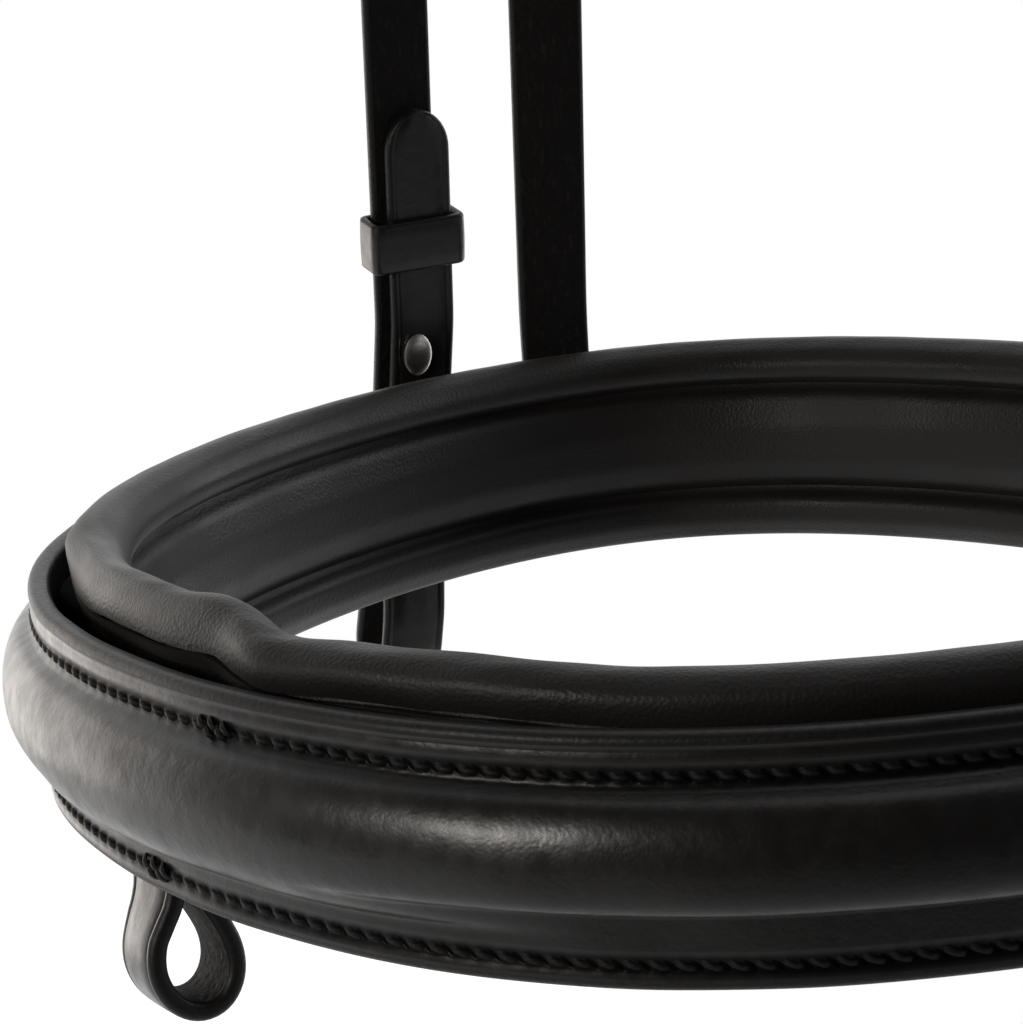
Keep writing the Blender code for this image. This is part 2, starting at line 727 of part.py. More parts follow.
def build_noseband():
    pocket = bmesh.new()
    for side in (LEFT, RIGHT):
        path = [ring_at(side * HANGER_AT_NOSEBAND, HANGER_OFF + GAP, h) for h in (30 * MM, HANGER_DEPTH - 2 * MM)]
        strap(path, ring_along(side * HANGER_AT_NOSEBAND), HANGER_WIDTH + 2.4 * MM, STRAP + 6 * GAP, 0, pocket)
    loop_room = [ring_at(FLASH_ALONG, FLASH_OFF, h) for h in (-30 * MM, -12.2 * MM)]
    strap(loop_room, ring_along(FLASH_ALONG), FLASH_WIDTH + 2.4 * MM, 7.4 * MM, 0, pocket)
    pockets = add_cutter("pockets", pocket)
    add_object("noseband_band", ring_sweep(band_section, BAND_END), leather)
    add_object("noseband_filler", ring_sweep(filler_section, FILLER_END), felt)
    add_object("noseband_padding", ring_sweep(foam_section, PAD_END), foam, cutters=[pockets])
    add_object("noseband_lining", ring_sweep(lining_section, PAD_END), soft_leather, cutters=[pockets])


def flash_loop():
    """A folded tab of leather whose two ends are sewn in under the band at the nose. It hangs a little askew."""
    eye = FLASH_EYE
    side = [(1.62, -FLASH_TOP), (1.7, -FLASH_NECK), (2.5, -21.4), (4.5, -25.2), (5.6, -28)]
    bottom = []
    for k in range(7):
        turn = math.radians(30 * k)
        bottom.append((FLASH_HALF_DEPTH * math.cos(turn), -eye - FLASH_HALF_HEIGHT * math.sin(turn)))
    route = side + bottom + [(-off, height) for off, height in reversed(side)]
    turned = Matrix.Rotation(FLASH_TURN, 3, "Z")
    leaning = turned @ Matrix.Rotation(-FLASH_ROLL, 3, "Y")
    points, widths = [], []
    for off, height in route:
        drop = max(0.0, -height - FLASH_NECK)
        share = min(1.0, drop / 8)
        along = FLASH_ALONG + math.sin(FLASH_ROLL) * drop * MM
        out = ring_out(FLASH_ALONG).lerp(turned @ Vector((0, -1, 0)), share)
        points.append(ring_at(along, FLASH_OFF, height * MM) + out * off * MM)
        widths.append(ring_along(FLASH_ALONG).lerp(leaning @ Vector((1, 0, 0)), share))
    sections = []
    for i, point in enumerate(points):
        ahead = (points[min(i + 1, len(points) - 1)] - points[max(i - 1, 0)]).normalized()
        wide = (widths[i] - ahead * widths[i].dot(ahead)).normalized()
        out = ahead.cross(wide)
        corners = ((-1, -1), (1, -1), (1, 1), (-1, 1))
        sections.append([
            point + wide * (w * FLASH_WIDTH / 2) + out * (n * FLASH_THICKNESS / 2) for w, n in corners
        ])
    return loft(sections)


def build_headstrap():
    """The noseband's headstrap: sewn in on the right, over the poll, and buckled on the left."""
    right = pocket_end(RIGHT, HANGER_DEPTH)[::-1] + [hanger_line(RIGHT)[1], hanger_line(RIGHT)[0]]
    over = poll_arc(HEADSTRAP_RADIUS, HEADSTRAP_TOP_Y, RIGHT)[::-1] + poll_arc(HEADSTRAP_RADIUS, HEADSTRAP_TOP_Y, LEFT)[1:]
    place = hanger_place(LEFT)
    route = billet_points(right + over + [hanger_line(LEFT)[0]], place, 44 * MM)
    path = with_tip(thinned(route), 11 * MM)
    right_across = twisted_right()
    left_across = blend(FRONT_TO_BACK, STRAIGHT_BELOW, to_back(place, LEFT), HANGER_BUCKLE_Z + 40 * MM)

    def across(point):
        return right_across(point) if point.x < 0 else left_across(point)

    holes = billet_cutter("headstrap_holes", [place], 4, 1)
    add_object("headstrap", strap(path, across, HANGER_WIDTH, STRAP, 11 * MM), leather, cutters=[holes])
    fold = fold_points(place, 22 * MM)
    down = [fold[-1], hanger_line(LEFT)[1]] + pocket_end(LEFT, HANGER_DEPTH)
    slot = add_cutter("hanger_slot", prong_slot(place))
    path = fold + thinned(rounded(down, 8 * MM))[1:]
    lower_across = blend(to_back(place, LEFT), -340 * MM, ring_to_back(LEFT), -425 * MM)
    add_object("hanger_left", strap(path, lower_across, HANGER_WIDTH, STRAP), leather, cutters=[slot])
    buckle_frame("hanger_buckle", place, HANGER_WIDTH, RISE)
    buckle_prong("hanger_prong", place, RISE)
    fixed = -LAYER - STRAP / 2
    keeper("hanger_keeper", place, -13 * MM, 6 * MM, HANGER_WIDTH, fixed, BILLET_LAYER + STRAP / 2, leather)
    keeper("hanger_runner", place, -31 * MM, 8 * MM, HANGER_WIDTH + 0.4 * MM, LAYER - STRAP / 2,
           BILLET_LAYER + STRAP / 2, leather)


def prong_slot(place, mesh_build=None):
    """The slot through a folded end, where the prong's eye reaches the heel bar."""
    return block(place, (-4.8 * MM, 6 * MM), (-1.6 * MM, 1.6 * MM), (-6 * MM, 6 * MM), mesh_build)


def build_cheekpiece(side, name):
    """A strap folded round its buckle at the top. Its lower end turns round the bit and hooks on a stud."""
    place = cheek_place(side)
    low = (-BIT_LOOP_BOTTOM - place.origin.z) / place.s.z
    flap = (-HOOK_BILLET_TOP - place.origin.z) / place.s.z
    inner = LAYER - STRAP - 0.5 * MM
    centre = (LAYER + inner) / 2
    eye = 6.3 * MM
    bottom = low + eye
    loop = [(low + 27 * MM, LAYER), (low + 14 * MM, centre + eye * 0.86)]
    loop += arc(bottom, centre, eye, 70, 290, 12)
    loop += [(low + 14 * MM, centre - eye * 0.86), (low + 27 * MM, inner), (flap, inner)]
    fold = fold_points(place, 24 * MM)
    down = [fold[-1]] + [place.at(s, 0, n) for s, n in loop]
    path = with_tip(fold + thinned(rounded(down, 4 * MM, 1 * MM))[1:], 8 * MM)
    stud_s = (HOOK_STUD_Z - place.origin.z) / place.s.z
    cut = prong_slot(place)
    punch(place, stud_s, (-8 * MM, 8 * MM), cut, 1.7 * MM, 1.7 * MM)
    slot = add_cutter(name + "_cut", cut)
    add_object(name, strap(path, to_back(place, side), CHEEK_WIDTH, STRAP, 8 * MM), leather, cutters=[slot])
    buckle_frame(name + "_buckle", place, CHEEK_WIDTH, RISE)
    buckle_prong(name + "_prong", place, RISE)
    fixed = -LAYER - STRAP / 2
    outside = BILLET_LAYER + STRAP / 2
    keeper(name + "_keeper", place, -13 * MM, 6 * MM, CHEEK_WIDTH, fixed, outside, leather)
    keeper(name + "_runner", place, -32 * MM, 8 * MM, CHEEK_WIDTH + 0.4 * MM, LAYER - STRAP / 2, outside, leather)
    hook_s = (HOOK_KEEPER_Z - place.origin.z) / place.s.z
    keeper(name + "_hook_keeper", place, hook_s, 12 * MM, CHEEK_WIDTH + 0.4 * MM, inner - STRAP / 2,
           LAYER + STRAP / 2, leather)
    hook_stud(name + "_hook_stud", place, stud_s, inner - STRAP / 2, LAYER + STRAP / 2)


def hook_stud(name, place, s, inside, outside):
    """A rivet through both layers, with a flat head outside and an oval button on the inner face."""
    rows = [(outside + GAP + 0.7 * MM, 1.6), (outside + GAP + 0.5 * MM, 2.6), (outside + GAP, 2.8),
            (outside + GAP, 1.3), (inside - GAP, 1.3), (inside - GAP, 2.6), (inside - GAP - 0.8 * MM, 3.0),
            (inside - GAP - 1.5 * MM, 1.9)]
    sections = []
    for n, radius in rows:
        stretch = 1.45 if n < 0 and radius > 1.5 else 1.0
        turns = [2 * math.pi * k / 10 for k in range(10)]
        sections.append([
            place.at(s + radius * stretch * MM * math.sin(a), radius * MM * math.cos(a), n) for a in turns
        ])
    add_object(name, loft(sections), steel, place.at(s))


def build_throatlatch():
    """A narrow strap under the throat, with a buckle at each end."""
    left, right = throat_place(LEFT), throat_place(RIGHT)
    side = [left.at(-41 * MM, 0, LAYER), left.at(-64 * MM, 0, LAYER)]
    side += [Vector((84, 100, -305)) * MM, Vector((46, 110, -331)) * MM]
    under = side + [THROAT_BOTTOM] + [mirrored(p, RIGHT) for p in side[::-1]]
    path = fold_points(left, 20 * MM) + thinned(rounded(under, 40 * MM)) + fold_points(right, 20 * MM)[::-1]
    left_across = blend(to_back(left, LEFT), -250 * MM, FRONT_TO_BACK, -320 * MM)
    right_across = blend(to_back(right, RIGHT), -250 * MM, FRONT_TO_BACK, -320 * MM)

    def across(point):
        return right_across(point) if point.x < 0 else left_across(point)

    slots = add_cutter("throat_slots", prong_slot(right, prong_slot(left)))
    add_object("throatlatch", strap(path, across, THROAT_WIDTH, STRAP), leather, cutters=[slots])
    for place, name in ((left, "throatlatch_left"), (right, "throatlatch_right")):
        buckle_frame(name + "_buckle", place, THROAT_WIDTH, RISE)
        buckle_prong(name + "_prong", place, RISE)
        keeper(name + "_keeper", place, -13 * MM, 6 * MM, THROAT_WIDTH, -LAYER - STRAP / 2,
               BILLET_LAYER + STRAP / 2, leather)
        keeper(name + "_runner", place, -29 * MM, 7 * MM, THROAT_WIDTH + 0.4 * MM, LAYER - STRAP / 2,
               BILLET_LAYER + STRAP / 2, leather)


BROW_Z = -90 * MM
BROW_HEIGHT = 20 * MM
BROW_STRAP = 2.2 * MM
BROW_FORWARD = 112 * MM
BROW_HALF = 88 * MM
BROW_PAD_FROM = -48 * MM


def brow_curve(share, inset=0.0):
    """A point of the browband's bow, from the left loop round the forehead to the right loop."""
    turn = math.pi * share
    x = (BROW_HALF - inset) * math.copysign(abs(math.cos(turn)) ** 0.86, math.cos(turn))
    sag = 8 * MM * math.sin(turn) ** 2
    return Vector((x, -20 * MM - (BROW_FORWARD - inset) * math.sin(turn) ** 0.95, BROW_Z - sag))


def brow_loop(side):
    """The browband's end, folded round the headpiece's tails and sewn back on itself."""
    inner = HEADSTRAP_RADIUS - STRAP / 2 - 0.8 * MM - BROW_STRAP / 2
    outer = CROWN_RADIUS + CROWN_THICKNESS / 2 + 0.8 * MM + BROW_STRAP / 2
    front, back = -23.5 * MM, 31 * MM
    points = [(outer + 2.0 * MM, front - 18 * MM), (outer - 0.9 * MM, front - 7 * MM), (inner + 2 * MM, front),
              (inner, front + 5 * MM), (inner, back - 3 * MM), (inner + 2.6 * MM, back), (outer - 2.6 * MM, back),
              (outer, back - 3 * MM), (outer, front + 3 * MM), (outer + 1.6 * MM, front - 7 * MM)]
    return [Vector((side * x, y, BROW_Z)) for x, y in points]


def build_browband():
    left, right = brow_loop(LEFT), brow_loop(RIGHT)
    bow = [brow_curve(share) for share in (0.1, 0.2, 0.3, 0.4, 0.5, 0.6, 0.7, 0.8, 0.9)]
    route = left + bow + right[::-1]
    path = thinned(rounded(route, 6 * MM, 1 * MM), 0.15 * MM)
    add_object("browband", strap(path, UP, BROW_HEIGHT, BROW_STRAP), leather)
    bow_stations = [station for station in frames_along(path, UP) if station[0].y < BROW_PAD_FROM]
    sections = []
    for i, (point, _, out) in enumerate(bow_stations):
        inward = out if out.dot(Vector((0, BROW_PAD_FROM, BROW_Z)) - point) > 0 else -out
        ends = min(i, len(bow_stations) - 1 - i)
        swell = 5.2 * min(1.0, 0.5 + 0.25 * ends)
        half = BROW_HEIGHT / MM / 2
        base = (BROW_STRAP / 2 + GAP) / MM
        shape = ((0, half - 1), (swell * 0.7, half - 1.6), (swell, half - 5), (swell * 1.06, 0),
                 (swell, 5 - half), (swell * 0.7, 1.6 - half), (0, 1 - half))
        sections.append([point + inward * ((base + d) * MM) + UP * (h * MM) for d, h in shape])
    add_object("browband_padding", loft(sections), soft_leather)


CHIN_BAR = 359 * MM


def build_chin():
    """The closing strap: a billet on the right end, and a buckle on a folded chape on the left end."""
    place = Place(ring_at(CHIN_BAR, 2.7 * MM, 0), ring_along(CHIN_BAR), ring_out(CHIN_BAR))
    across = TILTED.to_3x3() @ UP
    low = STRAP / 2 + 2 * GAP
    chape = [ring_at(a * MM, low, 0) for a in (321, 326, 331, 336, 341, 346, 351)]
    turned = [(-3.2 * MM, -FOLD_RADIUS + 0.4 * MM)] + arc(0, 0, FOLD_RADIUS, -90, 90, 6)
    chape += [place.at(s, 0, n) for s, n in turned] + [place.at(-4.5 * MM, 0, FOLD_RADIUS - 0.2 * MM)]
    chape += [ring_at(a * MM, low + STRAP + 2 * GAP, 0) for a in (350, 345, 340, 335)]
    slot = add_cutter("chin_slot", prong_slot(place))
    add_object("chin_chape", strap(chape, across, CHIN_WIDTH, STRAP), leather, cutters=[slot])
    buckle_frame("chin_buckle", place, CHIN_WIDTH, RISE)
    buckle_prong("chin_prong", place, RISE)
    over = low + 2 * STRAP + 4 * GAP + 0.2 * MM
    ease = low + KEEPER_WALL + GAP
    through = billet_route(9 * MM, RISE)[1:-1]
    route = [ring_at(RING_LENGTH - a * MM, low, 0) for a in (322, 328, 334, 340, 346, 352)]
    route += [ring_at(CHIN_BAR + a * MM, 1.6 * MM, 0) for a in (40, 32, 25)]
    route += [place.at(s, 0, n) for s, n in through]
    route += [ring_at(a * MM, over + 0.3 * MM, 0) for a in (348, 343, 338, 333)]
    route += [ring_at(328 * MM, over - 0.8 * MM, 0), ring_at(321 * MM, ease + 1 * MM, 0)]
    route += [ring_at(a * MM, ease, 0) for a in (314, 309, 304, 299, 294, 289, 284, 279)]
    path = with_tip(thinned(rounded(route, 4 * MM, 1 * MM), 0.1 * MM), 12 * MM)
    cut = bmesh.new()
    punch(place, 1.2 * MM, (1.5 * MM, 9 * MM), cut, 2.5 * MM, 1.35 * MM)
    for along in (384, 300):
        spot = Place(ring_at(along * MM, 0, 0), ring_along(along * MM), ring_out(along * MM))
        punch(spot, 0, (-2 * MM, 9 * MM), cut)
    holes = add_cutter("chin_holes", cut)
    add_object("chin_billet", strap(path, across, CHIN_WIDTH, STRAP, 12 * MM), leather, cutters=[holes])
    for name, along in (("chin_keeper_rear", 309), ("chin_keeper_front", 291)):
        spot = Place(ring_at(along * MM, 0, 0), ring_along(along * MM), ring_out(along * MM))
        keeper(name, spot, 0, 7 * MM, CHIN_WIDTH, KEEPER_WALL + 2 * GAP, ease + STRAP / 2, leather)


clear_scene()
crown_holes = billet_cutter(
    "crown_holes", [cheek_place(LEFT), cheek_place(RIGHT), throat_place(LEFT), throat_place(RIGHT)], 2, 1)
add_object("crownpiece", crownpiece(), leather, cutters=[crown_holes])
add_object("crown_pad", crown_pad(), soft_leather)
build_browband()
build_cheekpiece(LEFT, "cheekpiece_left")
build_cheekpiece(RIGHT, "cheekpiece_right")
build_headstrap()
build_throatlatch()
build_noseband()
add_object("flash_loop", flash_loop(), leather, ring_at(FLASH_ALONG, FLASH_OFF, -15 * MM))
build_chin()
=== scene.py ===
"""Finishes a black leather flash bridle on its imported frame: padding, straps, stitches, steel, studio.

Lengths in the mesh code are millimetres. +Z is up, the nose points along -Y and the horse's left is +X.
"""

import math

import bpy
import numpy as np
from mathutils import Matrix


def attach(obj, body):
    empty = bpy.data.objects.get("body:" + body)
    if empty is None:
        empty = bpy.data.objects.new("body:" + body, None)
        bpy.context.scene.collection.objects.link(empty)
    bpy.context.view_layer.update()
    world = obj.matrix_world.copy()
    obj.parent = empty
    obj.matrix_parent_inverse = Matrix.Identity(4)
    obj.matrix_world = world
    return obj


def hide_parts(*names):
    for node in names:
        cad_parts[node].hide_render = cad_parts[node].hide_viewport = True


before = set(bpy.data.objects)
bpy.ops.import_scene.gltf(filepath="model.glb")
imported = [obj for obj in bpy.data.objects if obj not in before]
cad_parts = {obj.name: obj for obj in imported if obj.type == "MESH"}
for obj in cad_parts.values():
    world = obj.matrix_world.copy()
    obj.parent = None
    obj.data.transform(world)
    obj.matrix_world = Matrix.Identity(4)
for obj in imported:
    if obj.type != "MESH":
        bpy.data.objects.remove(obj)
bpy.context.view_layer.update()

# Noseband foam
# A strip of grey upholstery foam, cut to shape and glued inside the lining.
# It gives the noseband its two rolls and the wide swell between them.
MM = 1000
RING_CENTRE = np.array((0.0, 8.0, -450.0))
RING_HALF_WIDTH, RING_HALF_DEPTH = 121.5, 117.8
RING_JOWL_SWELL, RING_NOSE_FLAT = 13.4, 5.0
RING_CORNER_X, RING_CORNER_Y = 1.8, 3.3
RING_TILT = math.radians(4.9)
BAND_THICKNESS = 3.4
GAP = 0.3
PAD_END = 347.5
ROLL_TOP, ROLL_BOTTOM, PAD_DEPTH = 22.0, 18.4, 16.0
LINING_THICKNESS = 1.2
HANGER_AT, HANGER_OFF, HANGER_WIDTH, HANGER_DEPTH = 236.0, -5.4, 14.3, -6.0
FLASH_ALONG, FLASH_OFF, FLASH_WIDTH = -14.2, -7.2, 13.2


def oval(turn):
    """The level outline of the noseband's face and its direction, by the turn from the nose."""
    x = RING_HALF_WIDTH * np.sin(turn) - RING_JOWL_SWELL * np.sin(2 * turn) + RING_CORNER_X * np.sin(3 * turn)
    y = -RING_HALF_DEPTH * np.cos(turn) + RING_NOSE_FLAT * np.cos(2 * turn) + RING_CORNER_Y * np.cos(3 * turn)
    dx = RING_HALF_WIDTH * np.cos(turn) - 2 * RING_JOWL_SWELL * np.cos(2 * turn)
    dx = dx + 3 * RING_CORNER_X * np.cos(3 * turn)
    dy = RING_HALF_DEPTH * np.sin(turn) - 2 * RING_NOSE_FLAT * np.sin(2 * turn)
    dy = dy - 3 * RING_CORNER_Y * np.sin(3 * turn)
    long = np.hypot(dx, dy)
    return x, y, dx / long, dy / long


TURNS = np.linspace(-math.pi, math.pi, 14401)
ARC = np.concatenate([[0], np.cumsum(np.hypot(*(np.diff(side) for side in oval(TURNS)[:2])))])
ARC -= ARC[-1] / 2
RING_LENGTH = ARC[-1] - ARC[0]


def tilted(x, y, z):
    """Turns ring coordinates down at the nose and moves them to the noseband's place."""
    low, side = math.sin(RING_TILT), math.cos(RING_TILT)
    return np.stack(np.broadcast_arrays(x, y * side - z * low, y * low + z * side), -1)


def ring_turn(along):
    """The turn from the nose at an arc length round the ring, which repeats past its ends."""
    along = np.asarray(along, float)
    return np.interp((along + RING_LENGTH / 2) % RING_LENGTH - RING_LENGTH / 2, ARC, TURNS)


def on_ring(along, off, height):
    """Points by arc length from the nose, distance out of the band's face, and height on the band."""
    x, y, dx, dy = oval(ring_turn(along))
    return tilted(x + dy * off, y - dx * off, height) + RING_CENTRE


def ring_ways(along):
    """The direction along the noseband, the one out of it and the one up it."""
    _, _, dx, dy = oval(ring_turn(along))
    return tilted(dx, dy, 0 * dx), tilted(dy, -dx, 0 * dx), tilted(0 * dx, 0 * dx, 1 + 0 * dx)


def lengths(points):
    """The length along a polyline at each of its points."""
    return np.concatenate([[0], np.cumsum(np.linalg.norm(np.diff(points, axis=0), axis=1))])


def girth(outline, start=0.0):
    """The length round a closed outline at each of its points, and at the first one again."""
    return start + lengths(np.vstack([outline, outline[:1]]))


def sampled(points, length, at):
    """Points of a polyline at lengths along it."""
    return np.stack([np.interp(at, length, column) for column in points.T], -1)


def even(points, step, closed=False):
    """Points at an even spacing along a polyline, both ends kept."""
    points = np.asarray(points, float)
    if closed:
        points = np.vstack([points, points[:1]])
    length = lengths(points)
    found = sampled(points, length, np.linspace(0, length[-1], max(2, round(length[-1] / step)) + 1))
    return found[:-1] if closed else found


def eased(points, reach, step=1.0):
    """A polyline with its corners eased over a reach, by two moving averages."""
    fine = even(points, step)
    last = len(fine) - 1
    here = np.arange(last + 1)
    half = np.minimum(max(1, round(reach / step / 2)), np.minimum(here, last - here))
    for _ in range(2):
        total = np.vstack([np.zeros((1, fine.shape[1])), np.cumsum(fine, axis=0)])
        fine = (total[here + half + 1] - total[here - half]) / (2 * half + 1)[:, None]
    return fine


def eased_outline(points, step, reach):
    """A closed outline with its corners eased."""
    fine = even(points, 0.2, closed=True)
    half = max(1, round(reach / 0.4))
    kernel = np.ones(2 * half + 1) / (2 * half + 1)
    for _ in range(2):
        padded = np.vstack([fine[-half:], fine, fine[:half]])
        fine = np.stack([np.convolve(column, kernel, "valid") for column in padded.T], -1)
    return even(fine, step, closed=True)


def wander(*terms):
    """A smooth, repeatable unevenness between about -1 and 1, from sines that never fall in step."""
    total = 0
    for k, (value, wave) in enumerate(terms):
        total = total + np.sin(value / wave * 2 * math.pi + 1.7 * k + 0.9 * np.sin(value / wave * 2.3 + k))
    return total / len(terms)


class Skin:
    """Points and faces in millimetres. Each face corner holds its distance along and round the piece."""

    def __init__(self):
        self.points, self.faces, self.corners, self.finish = [], [], [], []
        self.count = 0

    def sweep(self, grid, along, around, finish=0, ring=False):
        """Adds a closed section swept along a path, capped at both ends or closed on itself."""
        rows, columns = grid.shape[:2]
        i = np.arange(rows if ring else rows - 1)[:, None]
        j = np.arange(columns)[None, :]
        after, beside = (i + 1) % rows * columns, (j + 1) % columns
        quads = np.stack([i * columns + j, i * columns + beside, after + beside, after + j], -1)
        along = np.append(along, 2 * along[-1] - along[-2]) if ring else np.asarray(along, float)
        u, v = np.broadcast_arrays(along[:-1, None], around[None, :-1])
        u_next, v_next = np.broadcast_arrays(along[1:, None], around[None, 1:])
        corners = np.stack([u, v, u, v_next, u_next, v_next, u_next, v], -1)
        quads = quads.reshape(-1, 4)
        ends = [] if ring else [np.arange(columns)[::-1], (rows - 1) * columns + np.arange(columns)]
        flat = grid.reshape(-1, 3)
        a, b, c, d = (flat[quads[:, k]] for k in range(4))
        volume = np.einsum("ij,ij->", a, np.cross(b, c)) + np.einsum("ij,ij->", a, np.cross(c, d))
        for cap in ends:
            fan = flat[cap]
            volume += np.einsum("ij,ij->", fan[:1].repeat(len(cap) - 2, 0), np.cross(fan[1:-1], fan[2:]))
        turn = -1 if volume < 0 else 1
        self.faces += (quads[:, ::turn] + self.count).tolist()
        self.corners.append(corners.reshape(-1, 4, 2)[:, ::turn].reshape(-1))
        self.finish += np.broadcast_to(finish, quads.reshape(-1, columns, 4).shape[:2]).reshape(-1).tolist()
        for end, cap in enumerate(ends):
            self.faces.append((cap[::turn] + self.count).tolist())
            edge = np.stack([np.full(columns, along[-end]), around[cap[::turn] % columns]], -1)
            self.corners.append(edge.reshape(-1))
            self.finish.append(int(np.max(finish)))
        self.points.append(flat)
        self.count += len(flat)
        return self

    def mesh(self, name):
        """The skin's points and faces as a mesh in metres."""
        data = bpy.data.meshes.new(name)
        data.from_pydata((np.vstack(self.points) / MM).tolist(), [], self.faces)
        return data


def new_object(name, data):
    """An object of the scene that holds a mesh, a lamp or a camera."""
    made = bpy.data.objects.new(name, data)
    bpy.context.scene.collection.objects.link(made)
    return made


def add_piece(name, skin, finishes, body, replaced=(), sharp=50):
    """Makes a skin into an object in metres, riding on its body."""
    data = skin.mesh(name)
    layer = data.uv_layers.new(name="Lay")
    layer.data.foreach_set("uv", (np.concatenate(skin.corners) / MM).astype(np.float32))
    data.polygons.foreach_set("material_index", skin.finish)
    for finish in finishes:
        data.materials.append(finish)
    data.shade_smooth()
    data.set_sharp_from_angle(angle=math.radians(sharp))
    piece = new_object(name, data)
    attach(piece, body)
    if replaced:
        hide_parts(*replaced)
    return piece


def colour(code):
    """The linear colour of an sRGB hex value."""
    parts = [int(code[i:i + 2], 16) / 255 for i in (0, 2, 4)]
    return (*(c / 12.92 if c <= 0.04045 else ((c + 0.055) / 1.055) ** 2.4 for c in parts), 1.0)


def add_node(tree, kind, inputs=None, **settings):
    """Adds one node with its settings. An input is a value, or the socket that it is linked from."""
    node = tree.nodes.new(kind)
    for name, value in settings.items():
        setattr(node, name, value)
    for name, value in (inputs or {}).items():
        if isinstance(value, bpy.types.NodeSocket):
            tree.links.new(value, node.inputs[name])
        else:
            node.inputs[name].default_value = value
    return node


def new_material(name, **values):
    """An empty material with its shader, whose steady values are set on its own sockets."""
    made = bpy.data.materials.new(name)
    made.use_nodes = True
    shader = made.node_tree.nodes["Principled BSDF"]
    for socket, value in values.items():
        shader.inputs[socket.replace("_", " ")].default_value = value
    return made, made.node_tree, shader


def place_in(tree):
    """Where a point lies on the object, in metres."""
    return add_node(tree, "ShaderNodeTexCoord").outputs["Object"]


def lay_in(tree):
    """Where a point lies along and round its piece, in metres."""
    return add_node(tree, "ShaderNodeUVMap", uv_map="Lay").outputs["UV"]


def drawn_out(tree, vector, scale):
    """Coordinates that stretch a pattern along each axis whose scale is below 1."""
    return add_node(tree, "ShaderNodeMapping", {"Vector": vector, "Scale": scale}).outputs["Vector"]


def clouds(tree, size, detail, where=None, **more):
    """Noise with clouds of one size in metres."""
    where = place_in(tree) if where is None else where
    inputs = {"Vector": where, "Scale": 1 / size, "Detail": detail, **more}
    return add_node(tree, "ShaderNodeTexNoise", inputs).outputs["Fac"]


def cells(tree, size, feature="SMOOTH_F1"):
    """Round cells of one size in metres, lowest in their middles."""
    inputs = {"Vector": place_in(tree), "Scale": 1 / size}
    return add_node(tree, "ShaderNodeTexVoronoi", inputs, feature=feature).outputs["Distance"]


def worked(tree, operation, *terms):
    """The outcome of one sum of sockets and numbers."""
    return add_node(tree, "ShaderNodeMath", dict(enumerate(terms)), operation=operation).outputs[0]


def ranged(tree, value, low, high, start=0.0, end=1.0, way="LINEAR"):
    """A value from low to high, as another one goes from start to end."""
    inputs = {"Value": value, "From Min": start, "From Max": end, "To Min": low, "To Max": high}
    return add_node(tree, "ShaderNodeMapRange", inputs, interpolation_type=way).outputs[0]


def blended(tree, share, first, second):
    """A colour between two by a share. Each is an sRGB hex value or a socket."""
    first, second = (colour(tone) if isinstance(tone, str) else tone for tone in (first, second))
    inputs = {"Factor": share, "A": first, "B": second}
    return add_node(tree, "ShaderNodeMix", inputs, data_type="RGBA").outputs["Result"]


def surface(tree, shader, shade, height, strength, depth, rough=None):
    """Gives a shader its colour, its relief up to a depth in metres and its roughness."""
    bump = add_node(tree, "ShaderNodeBump", {"Height": height, "Strength": strength, "Distance": depth})
    tree.links.new(shade, shader.inputs["Base Color"])
    tree.links.new(bump.outputs["Normal"], shader.inputs["Normal"])
    if rough is not None:
        tree.links.new(rough, shader.inputs["Roughness"])


def upholstery_foam():
    """Open-cell foam: dull, pale against the leather, with cells about 0.6 mm across."""
    made, tree, shader = new_material("grey upholstery foam", Roughness=0.95)
    bubbles = cells(tree, 0.0006, "F1")
    surface(tree, shader, blended(tree, bubbles, "2b2a28", "4a4946"), bubbles, 0.6, 0.0003)
    return made


PADDING_STEP, PADDING_EASE, FOAM_ROOM = 0.9, 1.1, 1.8
FRONT = -BAND_THICKNESS - GAP
TOP, LOW, DEEP = ROLL_TOP, -ROLL_BOTTOM, -PAD_DEPTH
PADDING = eased_outline([
    (FRONT, TOP - 6.2), (FRONT - 1.6, TOP - 2.3), (FRONT - 4.4, TOP - 0.1), (FRONT - 7.3, TOP + 0.1),
    (DEEP + 1.7, TOP - 1.6), (DEEP - 0.1, TOP - 4.3), (DEEP + 0.4, TOP - 7.0), (DEEP + 3.9, TOP - 8.8),
    (DEEP + 1.2, TOP - 11.0), (DEEP - 0.2, 5.0), (DEEP - 0.2, -2.0), (DEEP + 1.2, LOW + 12.6),
    (DEEP + 3.9, LOW + 10.2), (DEEP + 0.5, LOW + 8.0), (DEEP + 0.4, LOW + 4.0), (DEEP + 3.0, LOW + 0.3),
    (FRONT - 6.2, LOW - 0.1), (FRONT - 2.4, LOW + 0.9), (FRONT, LOW + 3.8)], PADDING_STEP, PADDING_EASE)


def inset(outline, depth):
    """An outline moved in by a depth."""
    run = np.roll(outline, -1, 0) - np.roll(outline, 1, 0)
    run /= np.linalg.norm(run, axis=1)[:, None]
    return outline + np.stack([-run[:, 1], run[:, 0]], -1) * depth


def window(value, low, high, fade):
    """1 between two values and 0 beyond them, with a smooth fade of the given length outside."""
    share = np.clip(np.minimum(value - low, high - value) / fade + 1, 0, 1)
    return share * share * (3 - 2 * share)


